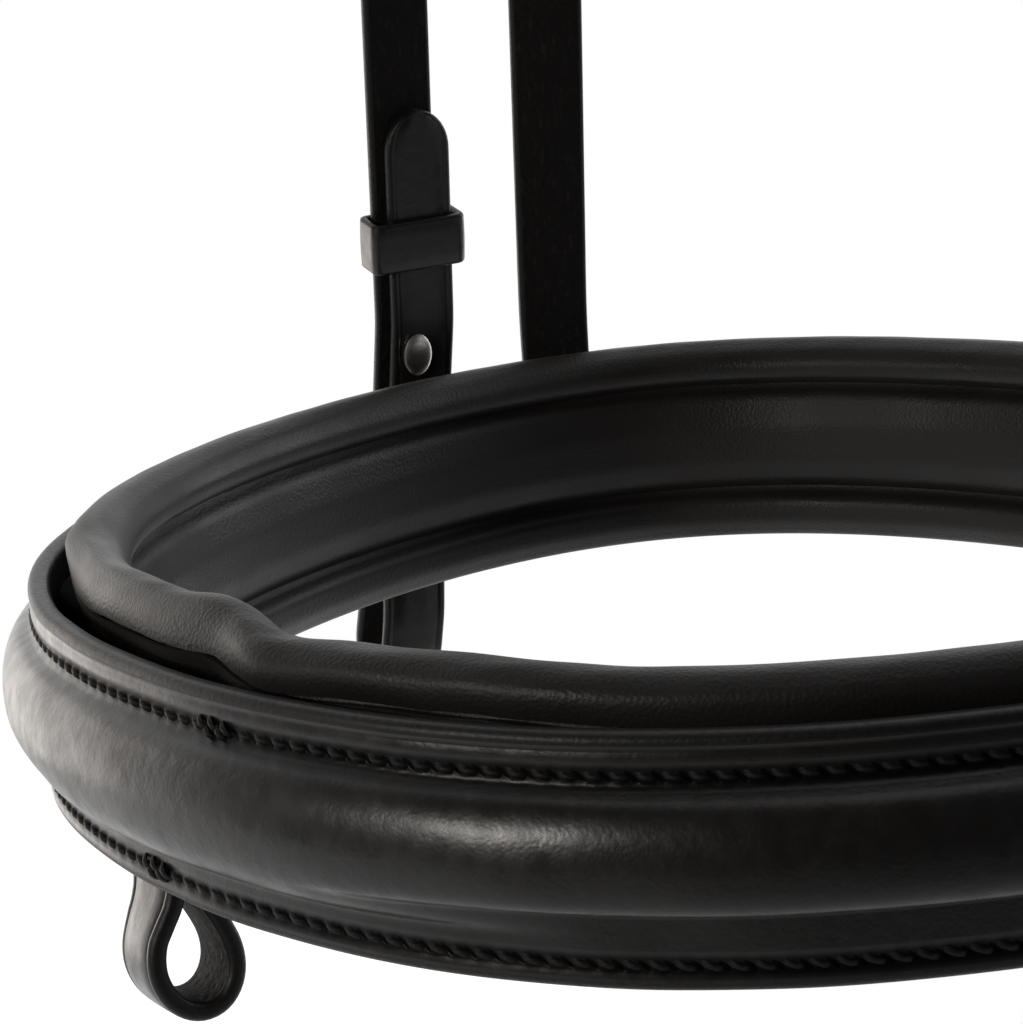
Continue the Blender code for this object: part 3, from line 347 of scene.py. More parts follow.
GAPE_NEAR, GAPE_FAR, GAPE_HEIGHTS = (-50.0, 60.0, 24.0), (-90.0, 6.0, 15.0), (3.0, 30.0, 6.0)
GAPE_SHARE, GAPE_ROUND, TUCK_DEPTH = 0.26, 2.6, 3.0
CROWN_HEIGHTS = (11.0, 30.0, 6.0)
SWELLS = ((-10.0, 22.0, 1.1), (3.0, 9.0, 1.2), (20.0, 8.0, -0.5))
SINK, SINK_SPAN = 0.9, (80.0, 345.0, 30.0)
BULGE, BULGE_AT, BULGE_SPREAD = 1.1, 16.0, 9.0
BULGE_WAVE, CROWN_WAVE, SKIN_WAVE = 0.25, 0.16, 0.12
STRAP_ROOM = 4.0
# Between these stations, the lining's face low in the nose gap is painted near black as shade.
GAP_SHADE_FROM, GAP_SHADE_TO = -78.0, 14.0


def bell(value, middle, spread):
    """A smooth hump that is 1 at its middle and fades to nothing over about twice its spread."""
    return np.exp(-((value - middle) / spread) ** 2)


def padded_section(outline, along):
    """The padding at each station: squeezed where straps pass, gaping behind the nose, a little uneven."""
    off, height = (np.repeat(outline[None, :, k], len(along), 0) for k in (0, 1))
    station = along[:, None]
    # In the gape the near roll leans back and rounds off. Elsewhere its foot tucks in behind the band's edge.
    gape = window(station, *GAPE_NEAR) * window(station, *GAPE_FAR) * window(height, *GAPE_HEIGHTS)
    round_off = np.clip((TOP - 4.0 - height) / 9.0, 0, 1) ** 2 * window(off, -8.0, 0.0, 4.0)
    tuck = np.clip((TOP - 0.5 - height) / 6.5, 0, 1) ** 1.7 * window(off, -7.5, 0.0, 3.0)
    tuck = tuck * window(height, 13.0, 30.0, 2.0)
    off = off - gape * (GAPE_SHARE * (off - DEEP) + GAPE_ROUND * round_off) - (1 - gape) * TUCK_DEPTH * tuck
    # The upper roll swells and sinks along its length and bulges where it closes again behind the gape.
    crown = window(height, *CROWN_HEIGHTS)
    swell = sum(rise * bell(station, middle, spread) for middle, spread, rise in SWELLS)
    height = height + crown * (swell - SINK * window(station, *SINK_SPAN))
    off = off + crown * (BULGE * bell(station, BULGE_AT, BULGE_SPREAD)
                         - BULGE_WAVE * wander((station, 37.0)) * window(station, -60.0, 40.0, 20.0))
    # The whole skin is a little uneven, most of all at the nose.
    near = 0.3 + 0.7 * window(station, -70.0, 50.0, 30.0)
    height = height + near * CROWN_WAVE * crown * wander((station, 53.0), (station + 3 * off, 17.0))
    off = off + near * SKIN_WAVE * wander((station, 71.0), (station + 2 * height, 27.0), (height, 11.0))
    # It makes room for the two hangers and for the flash loop's neck.
    room = np.minimum(off, FRONT)
    for middle, reach, heights, depth in (
            (HANGER_AT, 8.6, (-7.0, 40.0, 4.0), HANGER_OFF - 1.9),
            (-HANGER_AT, 8.6, (-7.0, 40.0, 4.0), HANGER_OFF - 1.9),
            (FLASH_ALONG, 7.6, (-40.0, -12.4, 3.0), FLASH_OFF - 3.9)):
        squeeze = window(station, middle - reach, middle + reach, STRAP_ROOM) * window(height, *heights)
        room = np.minimum(room, FRONT + squeeze * (depth - FRONT))
    return room, height


def swept_padding(outlines, along):
    """One closed skin along the noseband's back, from an outer outline and, if hollow, an inner one too."""
    parts = [padded_section(outlines[0], along)]
    finish = 0
    if len(outlines) > 1:
        inner = padded_section(outlines[1], along)
        parts.append((inner[0][:, ::-1], inner[1][:, ::-1]))
        outline_off, outline_height = outlines[0].T
        # Painted shade: the lining's face low in the gap takes the near-black raw finish, in place of the
        # shadow there.
        raw = (outline_off > FRONT - 1.9) & (outline_height < TOP - 9.0) & (outline_height > 0)
        seen = (along > GAP_SHADE_FROM) & (along < GAP_SHADE_TO)
        finish = np.concatenate([raw, 0 * raw]) * seen[:-1, None].astype(int)
    off, height = (np.concatenate([part[k] for part in parts], 1) for k in (0, 1))
    around = girth(np.stack([off[0], height[0]], -1))
    return Skin().sweep(on_ring(along[:, None], off, height), along, around, finish)


foam = upholstery_foam()
pad_stations = np.arange(-PAD_END, PAD_END + 0.1, 1.5)
foam_skin = swept_padding([inset(PADDING, LINING_THICKNESS + FOAM_ROOM)], pad_stations[1:-1])
foam_piece = add_piece("noseband_foam", foam_skin, [foam], "noseband", ["noseband_padding"])

# Noseband lining
# Soft black lining leather, wrapped round the foam and caught by the two rows of stitching.
# Its rolls wrinkle where the noseband bends, and it gapes from the band at the nose.


def lining_leather():
    """Chrome-tanned lining leather: matt, supple, with round grain and fine creases across its rolls."""
    made, tree, shader = new_material(
        "black lining leather", Specular_IOR_Level=0.2, Sheen_Weight=0.02, Sheen_Roughness=0.4)
    shader.inputs["Sheen Tint"].default_value = colour("b8aca0")
    patches = clouds(tree, 0.022, 3.0)
    across = drawn_out(tree, lay_in(tree), (1.0, 0.3, 1.0))
    creases = clouds(tree, 0.0024, 4.0, across, Roughness=0.62, Distortion=0.8)
    ridged = worked(tree, "ABSOLUTE", worked(tree, "SUBTRACT", creases, 0.5))
    folds = worked(tree, "MULTIPLY", ridged, ranged(tree, patches, 0.05, 0.35, 0.4, 0.62))
    height = worked(tree, "MULTIPLY_ADD", cells(tree, 0.0005), 0.5, folds)
    rough = ranged(tree, patches, 0.44, 0.58, 0.3, 0.7)
    surface(tree, shader, blended(tree, patches, "100f0f", "1c1a19"), height, 0.3, 0.0005, rough)
    return made


def shaded_raw_lining():
    """The lining's flesh side and turned edge, matt. Its near-black tone is partly dye and partly painted
    shade for the dark of the gap at the nose, the only place it shows.
    """
    made, tree, shader = new_material("raw lining, painted gap shade", Roughness=0.9, Specular_IOR_Level=0.1)
    nap = clouds(tree, 0.0009, 5.0)
    surface(tree, shader, blended(tree, nap, "040404", "0e0d0d"), nap, 0.9, 0.0006)
    return made


soft_leather = lining_leather()
shaded_raw_leather = shaded_raw_lining()
lining_stations = np.arange(-PAD_END, PAD_END + 0.1, 1.0)
lining_skin = swept_padding([PADDING, inset(PADDING, LINING_THICKNESS)], lining_stations)
lining_piece = add_piece("noseband_lining_leather", lining_skin, [soft_leather, shaded_raw_leather], "noseband",
                         ["noseband_lining"])

# Filler cord
# A half-round core of waxed felt, glued to the back of the band, which raises the band's middle.
# It is hidden, and its two ends fade out before the chin.
RAISED_HALF, RAISED_RISE = 9.4, 5.4
RAISED_FULL, FILLER_END, RAISED_END = 252.0, 266.0, 280.0
FILLER_STEP, FILLER_HALF, FILLER_SHORT, FILLER_SHARE = 3.8, 5.9, 3.7, 0.9


def raised_share(along):
    """How far the filler raises the band's middle: fully at the nose, not at all under the chin."""
    return window(np.abs(along), -1.0, RAISED_FULL, RAISED_END - RAISED_FULL)


def waxed_felt():
    """Pressed wool felt: dull brown-black with short fibres about 0.4 mm apart."""
    made, tree, shader = new_material("waxed felt", Roughness=0.9, Sheen_Weight=0.3)
    fibres = clouds(tree, 0.0004, 5.0)
    surface(tree, shader, blended(tree, fibres, "1d1a17", "3a352f"), fibres, 0.6, 0.0003)
    return made


felt = waxed_felt()
filler_stations = np.arange(-FILLER_END, FILLER_END + 0.1, FILLER_STEP)
filler_back = GAP - BAND_THICKNESS
arch = np.linspace(-1, 1, 15)
filler_depth = (BAND_THICKNESS + RAISED_RISE - FILLER_SHORT) * np.sqrt(np.clip(1 - arch ** 2, 0, 1))[None]
filler_off = filler_back + filler_depth * raised_share(filler_stations)[:, None] * FILLER_SHARE
filler_off = np.concatenate([filler_off, np.full((len(filler_stations), 2), filler_back - 0.05)], 1)
filler_height = np.repeat(np.append(arch * FILLER_HALF, (4.0, -4.0))[None], len(filler_stations), 0)
filler_grid = on_ring(filler_stations[:, None], filler_off, filler_height)
filler_skin = Skin().sweep(filler_grid, filler_stations, np.linspace(0, 30, filler_off.shape[1] + 1))
add_piece("noseband_filler_cord", filler_skin, [felt], "noseband", ["noseband_filler"])

# Noseband band
# Black bridle leather, cut 32 mm wide, pressed over the filler cord, creased along its top and stitched
# to the lining near both edges. Its cut edges are dyed and rubbed smooth.
BAND_HEIGHT, BAND_END = 32.4, 349.0
SHOULDER, LOW_SHOULDER = RAISED_HALF * 0.97, 5.8
SHOULDER_EASE, STEEP_FROM, STEEP_FADE = 0.42, 72.0, 46.0
BAND_CORNER, FACE_STEP, HOLLOW_HALF, HOLLOW_SHORT = 1.25, 0.4, 7.0, 2.6
CREASE_AT, CREASE_WIDTH = 14.15, 0.45
ROW_TOP, ROW_LOW, ROW_WIDTH = 10.9, -12.7, 0.9
DENT, PULL, BAND_WAVE = 0.22, 0.12, 0.12
STITCH_PITCH = 3.2


def pricking_and_painted_shade(tree, rows):
    """Slanted pricking holes in shallow grooves, along rows at heights round the piece: 1 in a hole and along
    the middle of its row's grooves. The leather sinks its relief there and also darkens its colour there as
    painted shade.
    """
    split = add_node(tree, "ShaderNodeSeparateXYZ", {"Vector": lay_in(tree)})
    beat = worked(tree, "FRACT", worked(tree, "MULTIPLY_ADD", split.outputs["X"], MM / STITCH_PITCH, 0.5))
    step = worked(tree, "MULTIPLY", worked(tree, "SUBTRACT", beat, 0.5), STITCH_PITCH)
    total = 0.0
    for row in rows:
        rise = worked(tree, "MULTIPLY_ADD", split.outputs["Y"], MM, -row)
        across = worked(tree, "MULTIPLY", worked(tree, "MULTIPLY_ADD", rise, 0.9, step), 1.5)
        far = worked(tree, "MULTIPLY_ADD", rise, rise, worked(tree, "MULTIPLY", across, across))
        # The holes and the grooves along the rows also carry painted shade: the leather darkens its colour
        # and dims its shine where they are 1.
        pricks_and_painted_shade = ranged(tree, far, 1.0, 0.0, 0.3, 1.7, "SMOOTHSTEP")
        grooves_and_painted_shade = ranged(tree, worked(tree, "ABSOLUTE", rise), 0.8, 0.0, 0.8, 1.9, "SMOOTHSTEP")
        total = worked(tree, "MAXIMUM", total, worked(tree, "MAXIMUM", pricks_and_painted_shade, grooves_and_painted_shade))
    return total


def bridle_leather(name, rows=()):
    """Waxed, vegetable-tanned bridle leather: nearly black and smooth, with a soft shine and fine pores."""
    shine = 0.34
    made, tree, shader = new_material(name, Specular_IOR_Level=shine, Sheen_Weight=0.02, Sheen_Roughness=0.4)
    shader.inputs["Sheen Tint"].default_value = colour("c4b6a8")
    shade = blended(tree, clouds(tree, 0.03, 4.0), "0b0a0a", "161413")
    rubbed = clouds(tree, 0.003, 2.0)
    height = worked(tree, "MULTIPLY_ADD", cells(tree, 0.0005), 0.22, rubbed)
    if rows:
        # Painted shade: in the rows, the holes and grooves are darkened to near black and lose most of their
        # shine. This stands in for the shade that falls into them.
        pricks_and_painted_shade = pricking_and_painted_shade(tree, rows)
        shade = blended(tree, pricks_and_painted_shade, shade, "020202")
        height = worked(tree, "MULTIPLY_ADD", pricks_and_painted_shade, -2.2, height)
        tree.links.new(ranged(tree, pricks_and_painted_shade, shine, 0.03), shader.inputs["Specular IOR Level"])
    surface(tree, shader, shade, height, 0.24, 0.00035, ranged(tree, rubbed, 0.3, 0.4, 0.3, 0.7))
    return made


def dyed_edge():
    """The cut edge of a strap: fibres dyed black and rubbed with wax, so it shines in long streaks."""
    made, tree, shader = new_material("burnished black edge", Specular_IOR_Level=0.2)
    fibres = clouds(tree, 0.0008, 3.0)
    rough = ranged(tree, fibres, 0.38, 0.58)
    surface(tree, shader, blended(tree, fibres, "080808", "121111"), fibres, 0.3, 0.0003, rough)
    return made


def flesh_side(name, worn):
    """The inner side of a strap: shaved, dyed and left matt, with a short nap and pale scratches."""
    made, tree, shader = new_material(name, Specular_IOR_Level=0.08, Sheen_Weight=0.01)
    nap = clouds(tree, 0.0011, 6.0)
    scratches = clouds(tree, 0.0011, 3.0, drawn_out(tree, lay_in(tree), (0.25, 1.0, 1.0)), Roughness=0.7)
    pale = ranged(tree, scratches, 0.0, worn, 0.56, 0.7)
    shade = blended(tree, pale, blended(tree, nap, "070606", "171514"), "5a5754")
    surface(tree, shader, shade, nap, 0.9, 0.0005, ranged(tree, nap, 0.6, 0.85))
    return made


def band_outline():
    """The flat band's outline as (off, height), with how much each point rises over the filler at the nose
    and beyond it, where the raised middle's lower shoulder is narrow and steep."""
    half, corner = BAND_HEIGHT / 2, BAND_CORNER
    face = np.arange(-half + corner, half - corner + 0.01, FACE_STEP)
    fine = np.linspace(-half, half, 1297)
    spread = bell(np.arange(-60, 61) * 0.025, 0, SHOULDER_EASE)
    domes = []
    for low_half, power in ((SHOULDER, 2.0), (LOW_SHOULDER, 3.0)):
        reach = np.where(fine < 0, low_half, SHOULDER)
        bend = np.where(fine < 0, power, 2.0)
        dome = np.clip(1 - np.abs(fine / reach) ** bend, 0, 1) ** (1 / bend)
        dome = np.convolve(dome, spread / spread.sum(), "same")
        domes.append(RAISED_RISE * np.interp(face, fine, dome) / dome.max())
    off = -DENT * bell(face, CREASE_AT, CREASE_WIDTH)
    for row in (ROW_TOP, ROW_LOW):
        off -= DENT * bell(face, row, ROW_WIDTH)
    turn = np.radians(np.linspace(0, 90, 6))
    top = np.stack([corner * (np.cos(turn) - 1), half - corner + corner * np.sin(turn)], -1)
    back = np.linspace(half - 0.9, -half + 0.9, 27)
    arched = np.sqrt(np.clip(1 - (back / HOLLOW_HALF) ** 2, 0, 1))
    hollow = (BAND_THICKNESS + RAISED_RISE - HOLLOW_SHORT) * arched
    shaved = [-BAND_THICKNESS + 0.6]
    off = np.concatenate([off, top[:, 0], shaved, np.full(len(back), -BAND_THICKNESS), shaved, top[::-1, 0]])
    height = np.concatenate([face, top[:, 1], [half - 0.15], back, [0.15 - half], -top[::-1, 1]])
    rises = [np.concatenate([dome, np.zeros(7), hollow, np.zeros(7)]) for dome in domes]
    finish = np.ones(len(off), int)
    finish[:len(face) - 1] = 0
    finish[len(face) + 7:len(face) + 7 + len(back)] = 2
    return off, height, rises, finish


band_off, band_height, band_rises, band_finish = band_outline()
band_around = girth(np.stack([band_off, band_height], -1), band_height[0])
strap_leather = bridle_leather("black bridle leather")
# This band's stitch rows carry painted shade in their holes and grooves.
band_leather = bridle_leather("black bridle leather, pricked", (ROW_TOP + 0.06, ROW_LOW))
edge_finish = dyed_edge()
flesh_finish = flesh_side("dyed flesh side", 0.1)
LEATHER = [strap_leather, edge_finish, flesh_finish]
band_stations = np.arange(-BAND_END, BAND_END + 0.1, STITCH_PITCH / 4)
from_nose = band_stations[:, None]
lift = BAND_WAVE * wander((from_nose, 67.0), (from_nose + band_height[None], 29.0))
for row in (ROW_TOP, ROW_LOW):
    pulled = np.cos(2 * math.pi * from_nose / STITCH_PITCH) * bell(band_height[None], row, ROW_WIDTH)
    lift -= PULL * pulled * (band_finish == 0)
steep = window(np.abs(from_nose), STEEP_FROM, 2 * BAND_END, STEEP_FADE)
raised = (band_rises[0] + (band_rises[1] - band_rises[0]) * steep) * raised_share(from_nose)
band_grid = on_ring(from_nose, band_off + raised + lift, np.repeat(band_height[None], len(from_nose), 0))
band_skin = Skin().sweep(band_grid, band_stations, band_around, band_finish)
add_piece("noseband_band_leather", band_skin, [band_leather, edge_finish, flesh_finish], "noseband",
          ["noseband_band"])

# Noseband stitching
# Waxed black linen thread, sewn through band and lining in two rows, eight stitches to the inch.
# Each stitch leans a little and sinks at both ends into its pricked hole.


def waxed_linen():
    """Waxed linen thread of two plies: black and dull, twisted about once in 2 mm."""
    made, tree, shader = new_material("waxed black linen thread", Roughness=0.6, Specular_IOR_Level=0.14)
    inputs = {"Vector": lay_in(tree), "Scale": MM / STITCH_PITCH, "Distortion": 0.6}
    twist = add_node(tree, "ShaderNodeTexWave", inputs, bands_direction="DIAGONAL").outputs["Fac"]
    surface(tree, shader, blended(tree, twist, "060606", "121111"), twist, 0.7, 0.0002)
    return made


def sew(skin, centres, ways, outs, length=STITCH_PITCH, radius=0.53, lean=-24.0, rise=0.05):
    """Adds one short thread for each centre: round, tapered, sunk at its ends and leaning on the row."""
    share = np.array((-1.0, -0.72, -0.3, 0.3, 0.72, 1.0))
    thick = radius * np.array((0.35, 0.85, 1.0, 1.0, 0.85, 0.35))
    turn = np.arange(6) * math.pi / 3
    slant = math.radians(lean)
    around = np.linspace(0, 2 * math.pi * radius, 7)
    for centre, way, out in zip(centres, ways, outs):
        side = np.cross(out, way)
        run = way * math.cos(slant) + side * math.sin(slant)
        cross = np.cross(out, run)
        spine = centre + run * (share * length * 0.56)[:, None] + out * (rise - 0.7 * share ** 2)[:, None]
        ring = np.cos(turn)[None, :, None] * cross + np.sin(turn)[None, :, None] * out * 0.75
        skin.sweep(spine[:, None] + ring * thick[:, None, None], share * length / 2, around)
    return skin


def add_stitches(name, skin, body):
    """Adds rows of thread that ride on a body."""
    add_piece(name, skin, [thread], body)


thread = waxed_linen()
for name, row, start, end, knot_at in (("upper", ROW_TOP, -76, 77, 15.5), ("lower", ROW_LOW, -88, 88, -2.6)):
    at = np.arange(start, end) * STITCH_PITCH + STITCH_PITCH / 2
    at = at[np.abs(at) < BAND_END - 6]
    row_skin = Skin()
    ways, outs, _ = ring_ways(at)
    sew(row_skin, on_ring(at, np.full(len(at), -0.12), np.full(len(at), row)), ways, outs)
    knot = knot_at + np.array((-2.6, -1.5, -0.4, 0.9, 2.1))
    ways, outs, _ = ring_ways(knot)
    knot_spots = on_ring(knot, np.full(5, 0.2), row + np.array((0.5, -0.5, 0.7, -0.3, 0.4)))
    sew(row_skin, knot_spots, ways, outs, 0.8 * STITCH_PITCH, 0.5, -48.0, 0.3)
    add_stitches("noseband_stitching_" + name, row_skin, "noseband")

# Flash loop
# A tab of black strap leather, folded in half with its flesh side in, whose two ends are sewn in under the
# band at the nose. It hangs a little askew and is empty here; a flash strap would pass through it.
STRAP = 2.4
FLASH_TURN, FLASH_ROLL = math.radians(-11.4), math.radians(6.5)
FLASH_TOP, FLASH_NECK, FLASH_EYE = 13.2, 18.4, 30.3
FLASH_HALF_DEPTH, FLASH_HALF_HEIGHT, FLASH_THICKNESS = 5.9, 7.2, 2.7


def unit(vectors):
    """Vectors brought to length 1."""
    return vectors / np.linalg.norm(vectors, axis=-1, keepdims=True)


def strap_section(width, thickness, creased=True):
    """A strap's outline as (across, out), and whether each face of it is grain, edge or flesh: 0, 1 or 2."""
    half, thick = width / 2, thickness / 2
    corner = thick * 0.78
    flat, line = half - corner, half - 1.75
    side = [line * 0.4, line - 0.4, line, line + 0.4, flat] if creased else [flat * 0.5, flat]
    grain = np.array([-w for w in side[::-1]] + [0] + side)
    crown = thick + 0.14 * (1 - (grain / half) ** 2) - 0.2 * (np.abs(np.abs(grain) - line) < 0.1) * creased
    turn = np.radians((60, 30, 0))
    edge = [(flat + corner * math.cos(a), thick - corner + corner * math.sin(a)) for a in turn]
    edge += [(w, -n) for w, n in edge[::-1]]
    flesh = [(w, -thick) for w in (flat, 0, -flat)]
    outline = list(zip(grain, crown)) + edge + flesh + [(-w, n) for w, n in edge[::-1]]
    finish = [0] * (len(grain) - 1) + [1] * 7 + [2, 2] + [1] * 7
    return np.array(outline), np.array(finish)


def laid(points, across, out, wide, high):
    """The grid of an outline that is set out across each point of a path and out of it."""
    return points[:, None] + across[:, None] * wide[..., None] + out[:, None] * high[..., None]


class Strap:
    """A flat strap along a path. Its grain side looks along `facing` at a share of its length."""

    def __init__(self, path, across, facing, width, thickness=STRAP, tip=0.0, share=0.5, step=1.3, tips=(1,)):
        path = np.asarray(path, float)
        length = lengths(path)
        end = length[-1]
        first = tip if 0 in tips else 0.0
        last = tip if 1 in tips else 0.0
        arc = np.linspace(first, end - last, max(3, round((end - first - last) / step)))
        swing = np.radians(np.linspace(0, 88, 12))
        if first:
            arc = np.concatenate([(first * (1 - np.sin(swing)))[:0:-1], arc])
        if last:
            arc = np.concatenate([arc, (end - last * (1 - np.sin(swing)))[1:]])
        self.arc, self.width, self.thickness = arc, width, thickness
        self.points = sampled(path, length, arc)
        beside = sampled(path, length, np.clip(arc[:, None] + (-0.8, 0.8), 0, end))
        self.ahead = unit(beside[:, 1] - beside[:, 0])
        wide = across(self.points) if callable(across) else np.broadcast_to(across, self.points.shape)
        self.wide = unit(wide - self.ahead * np.einsum("ij,ij->i", wide, self.ahead)[:, None])
        self.out = np.cross(self.ahead, self.wide)
        k = round(share * (len(arc) - 1))
        if self.out[k] @ np.asarray(facing, float) < 0:
            self.wide, self.out = -self.wide, -self.out
        self.scale = np.ones(len(arc))
        for rounded, from_end in ((last, end - arc), (first, arc)):
            if rounded:
                near = np.clip(1 - from_end / rounded, 0, 1)
                self.scale *= np.maximum(0.1, np.sqrt(1 - near ** 2))

    def skin(self, skin=None):
        """The strap as a new skin, or added to one."""
        outline, finish = strap_section(self.width, self.thickness)
        wide = outline[:, 0] * self.scale[:, None]
        grid = laid(self.points, self.wide, self.out, wide, outline[None, :, 1])
        return (skin or Skin()).sweep(grid, self.arc, girth(outline, -self.width / 2), finish)

    def spot(self, arc, across=0.0, lift=0.0):
        """Points on the grain side at lengths along the strap, with the ways along it and out of it."""
        face = self.points + self.wide * across + self.out * (self.thickness / 2 + lift)
        spots, ahead, out = (sampled(values, self.arc, arc) for values in (face, self.ahead, self.out))
        return spots, unit(ahead), unit(out)

    def nearest(self, point):
        """The length along the strap nearest to a point."""
        return self.arc[np.argmin(np.linalg.norm(self.points - np.asarray(point), axis=1))]

    def sew(self, skin, first, last, inset=2.6):
        """Adds a row of stitches near each edge of the strap, between two lengths."""
        arc = np.arange(first + STITCH_PITCH / 2, last, STITCH_PITCH)
        for side in (-1, 1):
            sew(skin, *self.spot(arc, side * (self.width / 2 - inset), -0.05), radius=0.4)
        return skin


def turned(angle, axis):
    """The matrix that turns vectors about one axis."""
    return np.array(Matrix.Rotation(angle, 3, axis))


neck = [(1.62, -FLASH_TOP), (1.7, -FLASH_NECK), (2.5, -21.4), (4.5, -25.2), (5.6, -28.0)]
eye = [(FLASH_HALF_DEPTH * math.cos(a), -FLASH_EYE - FLASH_HALF_HEIGHT * math.sin(a))
       for a in np.linspace(0, math.pi, 19)]
route = eased(neck + eye + [(-off, height) for off, height in neck[::-1]], 2.0, 0.5)
drop = np.maximum(0, -route[:, 1] - FLASH_NECK)
share = np.minimum(1, drop / 8)[:, None]
hung = turned(FLASH_TURN, "Z")
loop_way, loop_out, _ = ring_ways(np.array(FLASH_ALONG))
loop_out = loop_out * (1 - share) + hung @ (0, -1, 0) * share
loop_wide = loop_way * (1 - share) + hung @ turned(-FLASH_ROLL, "Y") @ (1, 0, 0) * share
loop_path = on_ring(FLASH_ALONG + math.sin(FLASH_ROLL) * drop, np.full(len(drop), FLASH_OFF), route[:, 1])
loop_path = loop_path + loop_out * route[:, :1]


def loop_across(points):
    """The flash loop's width direction, taken from the nearest point of its path."""
    nearest = np.argmin(np.linalg.norm(points[:, None] - loop_path[None], axis=2), axis=1)
    return loop_wide[nearest]


flash = Strap(loop_path, loop_across, (0, 0, -1), FLASH_WIDTH, FLASH_THICKNESS, step=0.8)
worn_leather = [strap_leather, edge_finish, flesh_side("worn flesh side", 0.8)]
add_piece("flash_loop_leather", flash.skin(), worn_leather, "flash_loop", ["flash_loop"])

# Closing strap under the chin
# A billet on the noseband's right end passes a steel buckle on a folded chape at its left end, and its
# free end runs back through two fixed keepers. Bridle leather and stainless steel.
CHIN_WIDTH, CHIN_BAR = 15.0, 359.0
KEEPER_WALL = 1.5
BAR_RADIUS, PRONG_RADIUS, BUCKLE_LENGTH, RISE = 1.1, 0.95, 15.0, 4.0
FOLD_RADIUS = BAR_RADIUS + GAP + STRAP / 2
LAYER = STRAP / 2 + 0.2
BILLET_LAYER = LAYER + STRAP + GAP + 0.1
BILLET_OVER_FOLD = FOLD_RADIUS + STRAP + GAP + 0.7
HOLE_SPACING, HOLE_RADIUS = 25.0, 1.5


class Place:
    """A spot on a strap: s runs along it, w across it and n out of its face."""

    def __init__(self, origin, along, out):
        self.origin = np.asarray(origin, float)
        self.s = unit(np.asarray(along, float))
        self.n = unit(out - self.s * np.dot(out, self.s))
        self.w = np.cross(self.n, self.s)

    def at(self, s, w=0.0, n=0.0):
        """A point some way along, across and out of the strap."""
        return self.origin + self.s * s + self.w * w + self.n * n


def arc_points(radius, first, last, steps, s=0.0, n=0.0):
    """Points of an arc as (s, n), by degrees from s towards n."""
    turns = np.radians(np.linspace(first, last, steps + 1))
    return [(s + radius * math.cos(a), n + radius * math.sin(a)) for a in turns]


def stainless_steel():
    """Polished stainless steel wire and castings: bright, with fine scratches from handling."""
    made, tree, shader = new_material("polished stainless steel", Metallic=1.0)
    scratches = clouds(tree, 0.0005, 3.0, drawn_out(tree, place_in(tree), (1.0, 1.0, 0.15)))
    dull = clouds(tree, 0.006, 2.0)
    rough = ranged(tree, dull, 0.2, 0.4)
    surface(tree, shader, blended(tree, dull, "dedad3", "c8c4bc"), scratches, 0.12, 0.0002, rough)
    return made


steel = stainless_steel()


def add_steel(name, skin, body, node):
    """Adds a steel piece in place of one node."""
    add_piece(name, skin, [steel], body, [node])


def rod(points, radius, hint, sides=14, ring=False):
    """A round bar along a path. The radius is one value, or one for each point."""
    before = np.roll(points, 1, 0) if ring else np.vstack([points[:1], points[:-1]])
    after = np.roll(points, -1, 0) if ring else np.vstack([points[1:], points[-1:]])
    ahead = unit(after - before)
    side = unit(hint - ahead * (ahead @ hint)[:, None])
    out = np.cross(ahead, side)
    turn = np.arange(sides) * 2 * math.pi / sides
    reach = np.broadcast_to(radius, len(points))[:, None, None]
    grid = side[:, None] * np.cos(turn)[None, :, None] + out[:, None] * np.sin(turn)[None, :, None]
    around = np.linspace(0, 2 * math.pi * np.max(radius), sides + 1)
    return Skin().sweep(points[:, None] + grid * reach, lengths(points), around, ring=ring)


def rounded_box(corners, steps, step):
    """An even closed outline round four corners, each the middle and the radius of its quarter turn."""
    outline = []
    for quarter, (s, n, radius) in enumerate(corners):
        outline += arc_points(radius, 90 * quarter, 90 * quarter + 90, steps, s, n)
    return even(outline, step, closed=True)


def buckle(name, place, width, body):
    """A wire frame, closed and polished, with a heel bar that the strap folds round."""
    half, corner = width / 2 + 2.0, 2.6
    front, heel = BUCKLE_LENGTH - corner, corner * 0.6
    corners = ((front, half - corner, corner), (heel, half - heel, heel), (heel, heel - half, heel),
               (front, corner - half, corner))
    points = np.array([place.at(s, w, s * RISE / BUCKLE_LENGTH) for s, w in rounded_box(corners, 7, 0.8)])
    add_steel(name + "_frame", rod(points, BAR_RADIUS, place.n, ring=True), body, name)


def prong(name, node, place, body):
    """The buckle's tongue: its eye wraps the heel bar, and its point rests on the front bar."""
    eye = BAR_RADIUS + 0.15 + PRONG_RADIUS
    over = BILLET_OVER_FOLD + STRAP / 2 + GAP + PRONG_RADIUS
    rest = RISE + BAR_RADIUS + PRONG_RADIUS + 0.15
    knee = [(eye, over - 1.6), (eye + 0.5, over - 0.5), (eye + 1.7, over)]
    tongue = [(BUCKLE_LENGTH - 2, rest), (BUCKLE_LENGTH + 1.6, rest - 0.1)]
    path = eased(arc_points(eye, -250, 0, 20) + knee + tongue, 0.8, 0.4)
    left = np.arange(len(path))[::-1] * 0.4
    point = np.clip(np.sqrt(np.clip(left / 1.6, 0, 1)), 0.3, 1)
    radius = PRONG_RADIUS * point * (0.86 + 0.14 * np.clip(left / 9, 0, 1))
    points = np.array([place.at(s, 0, n) for s, n in path])
    add_steel(name, rod(points, radius, place.w, 12), body, node)


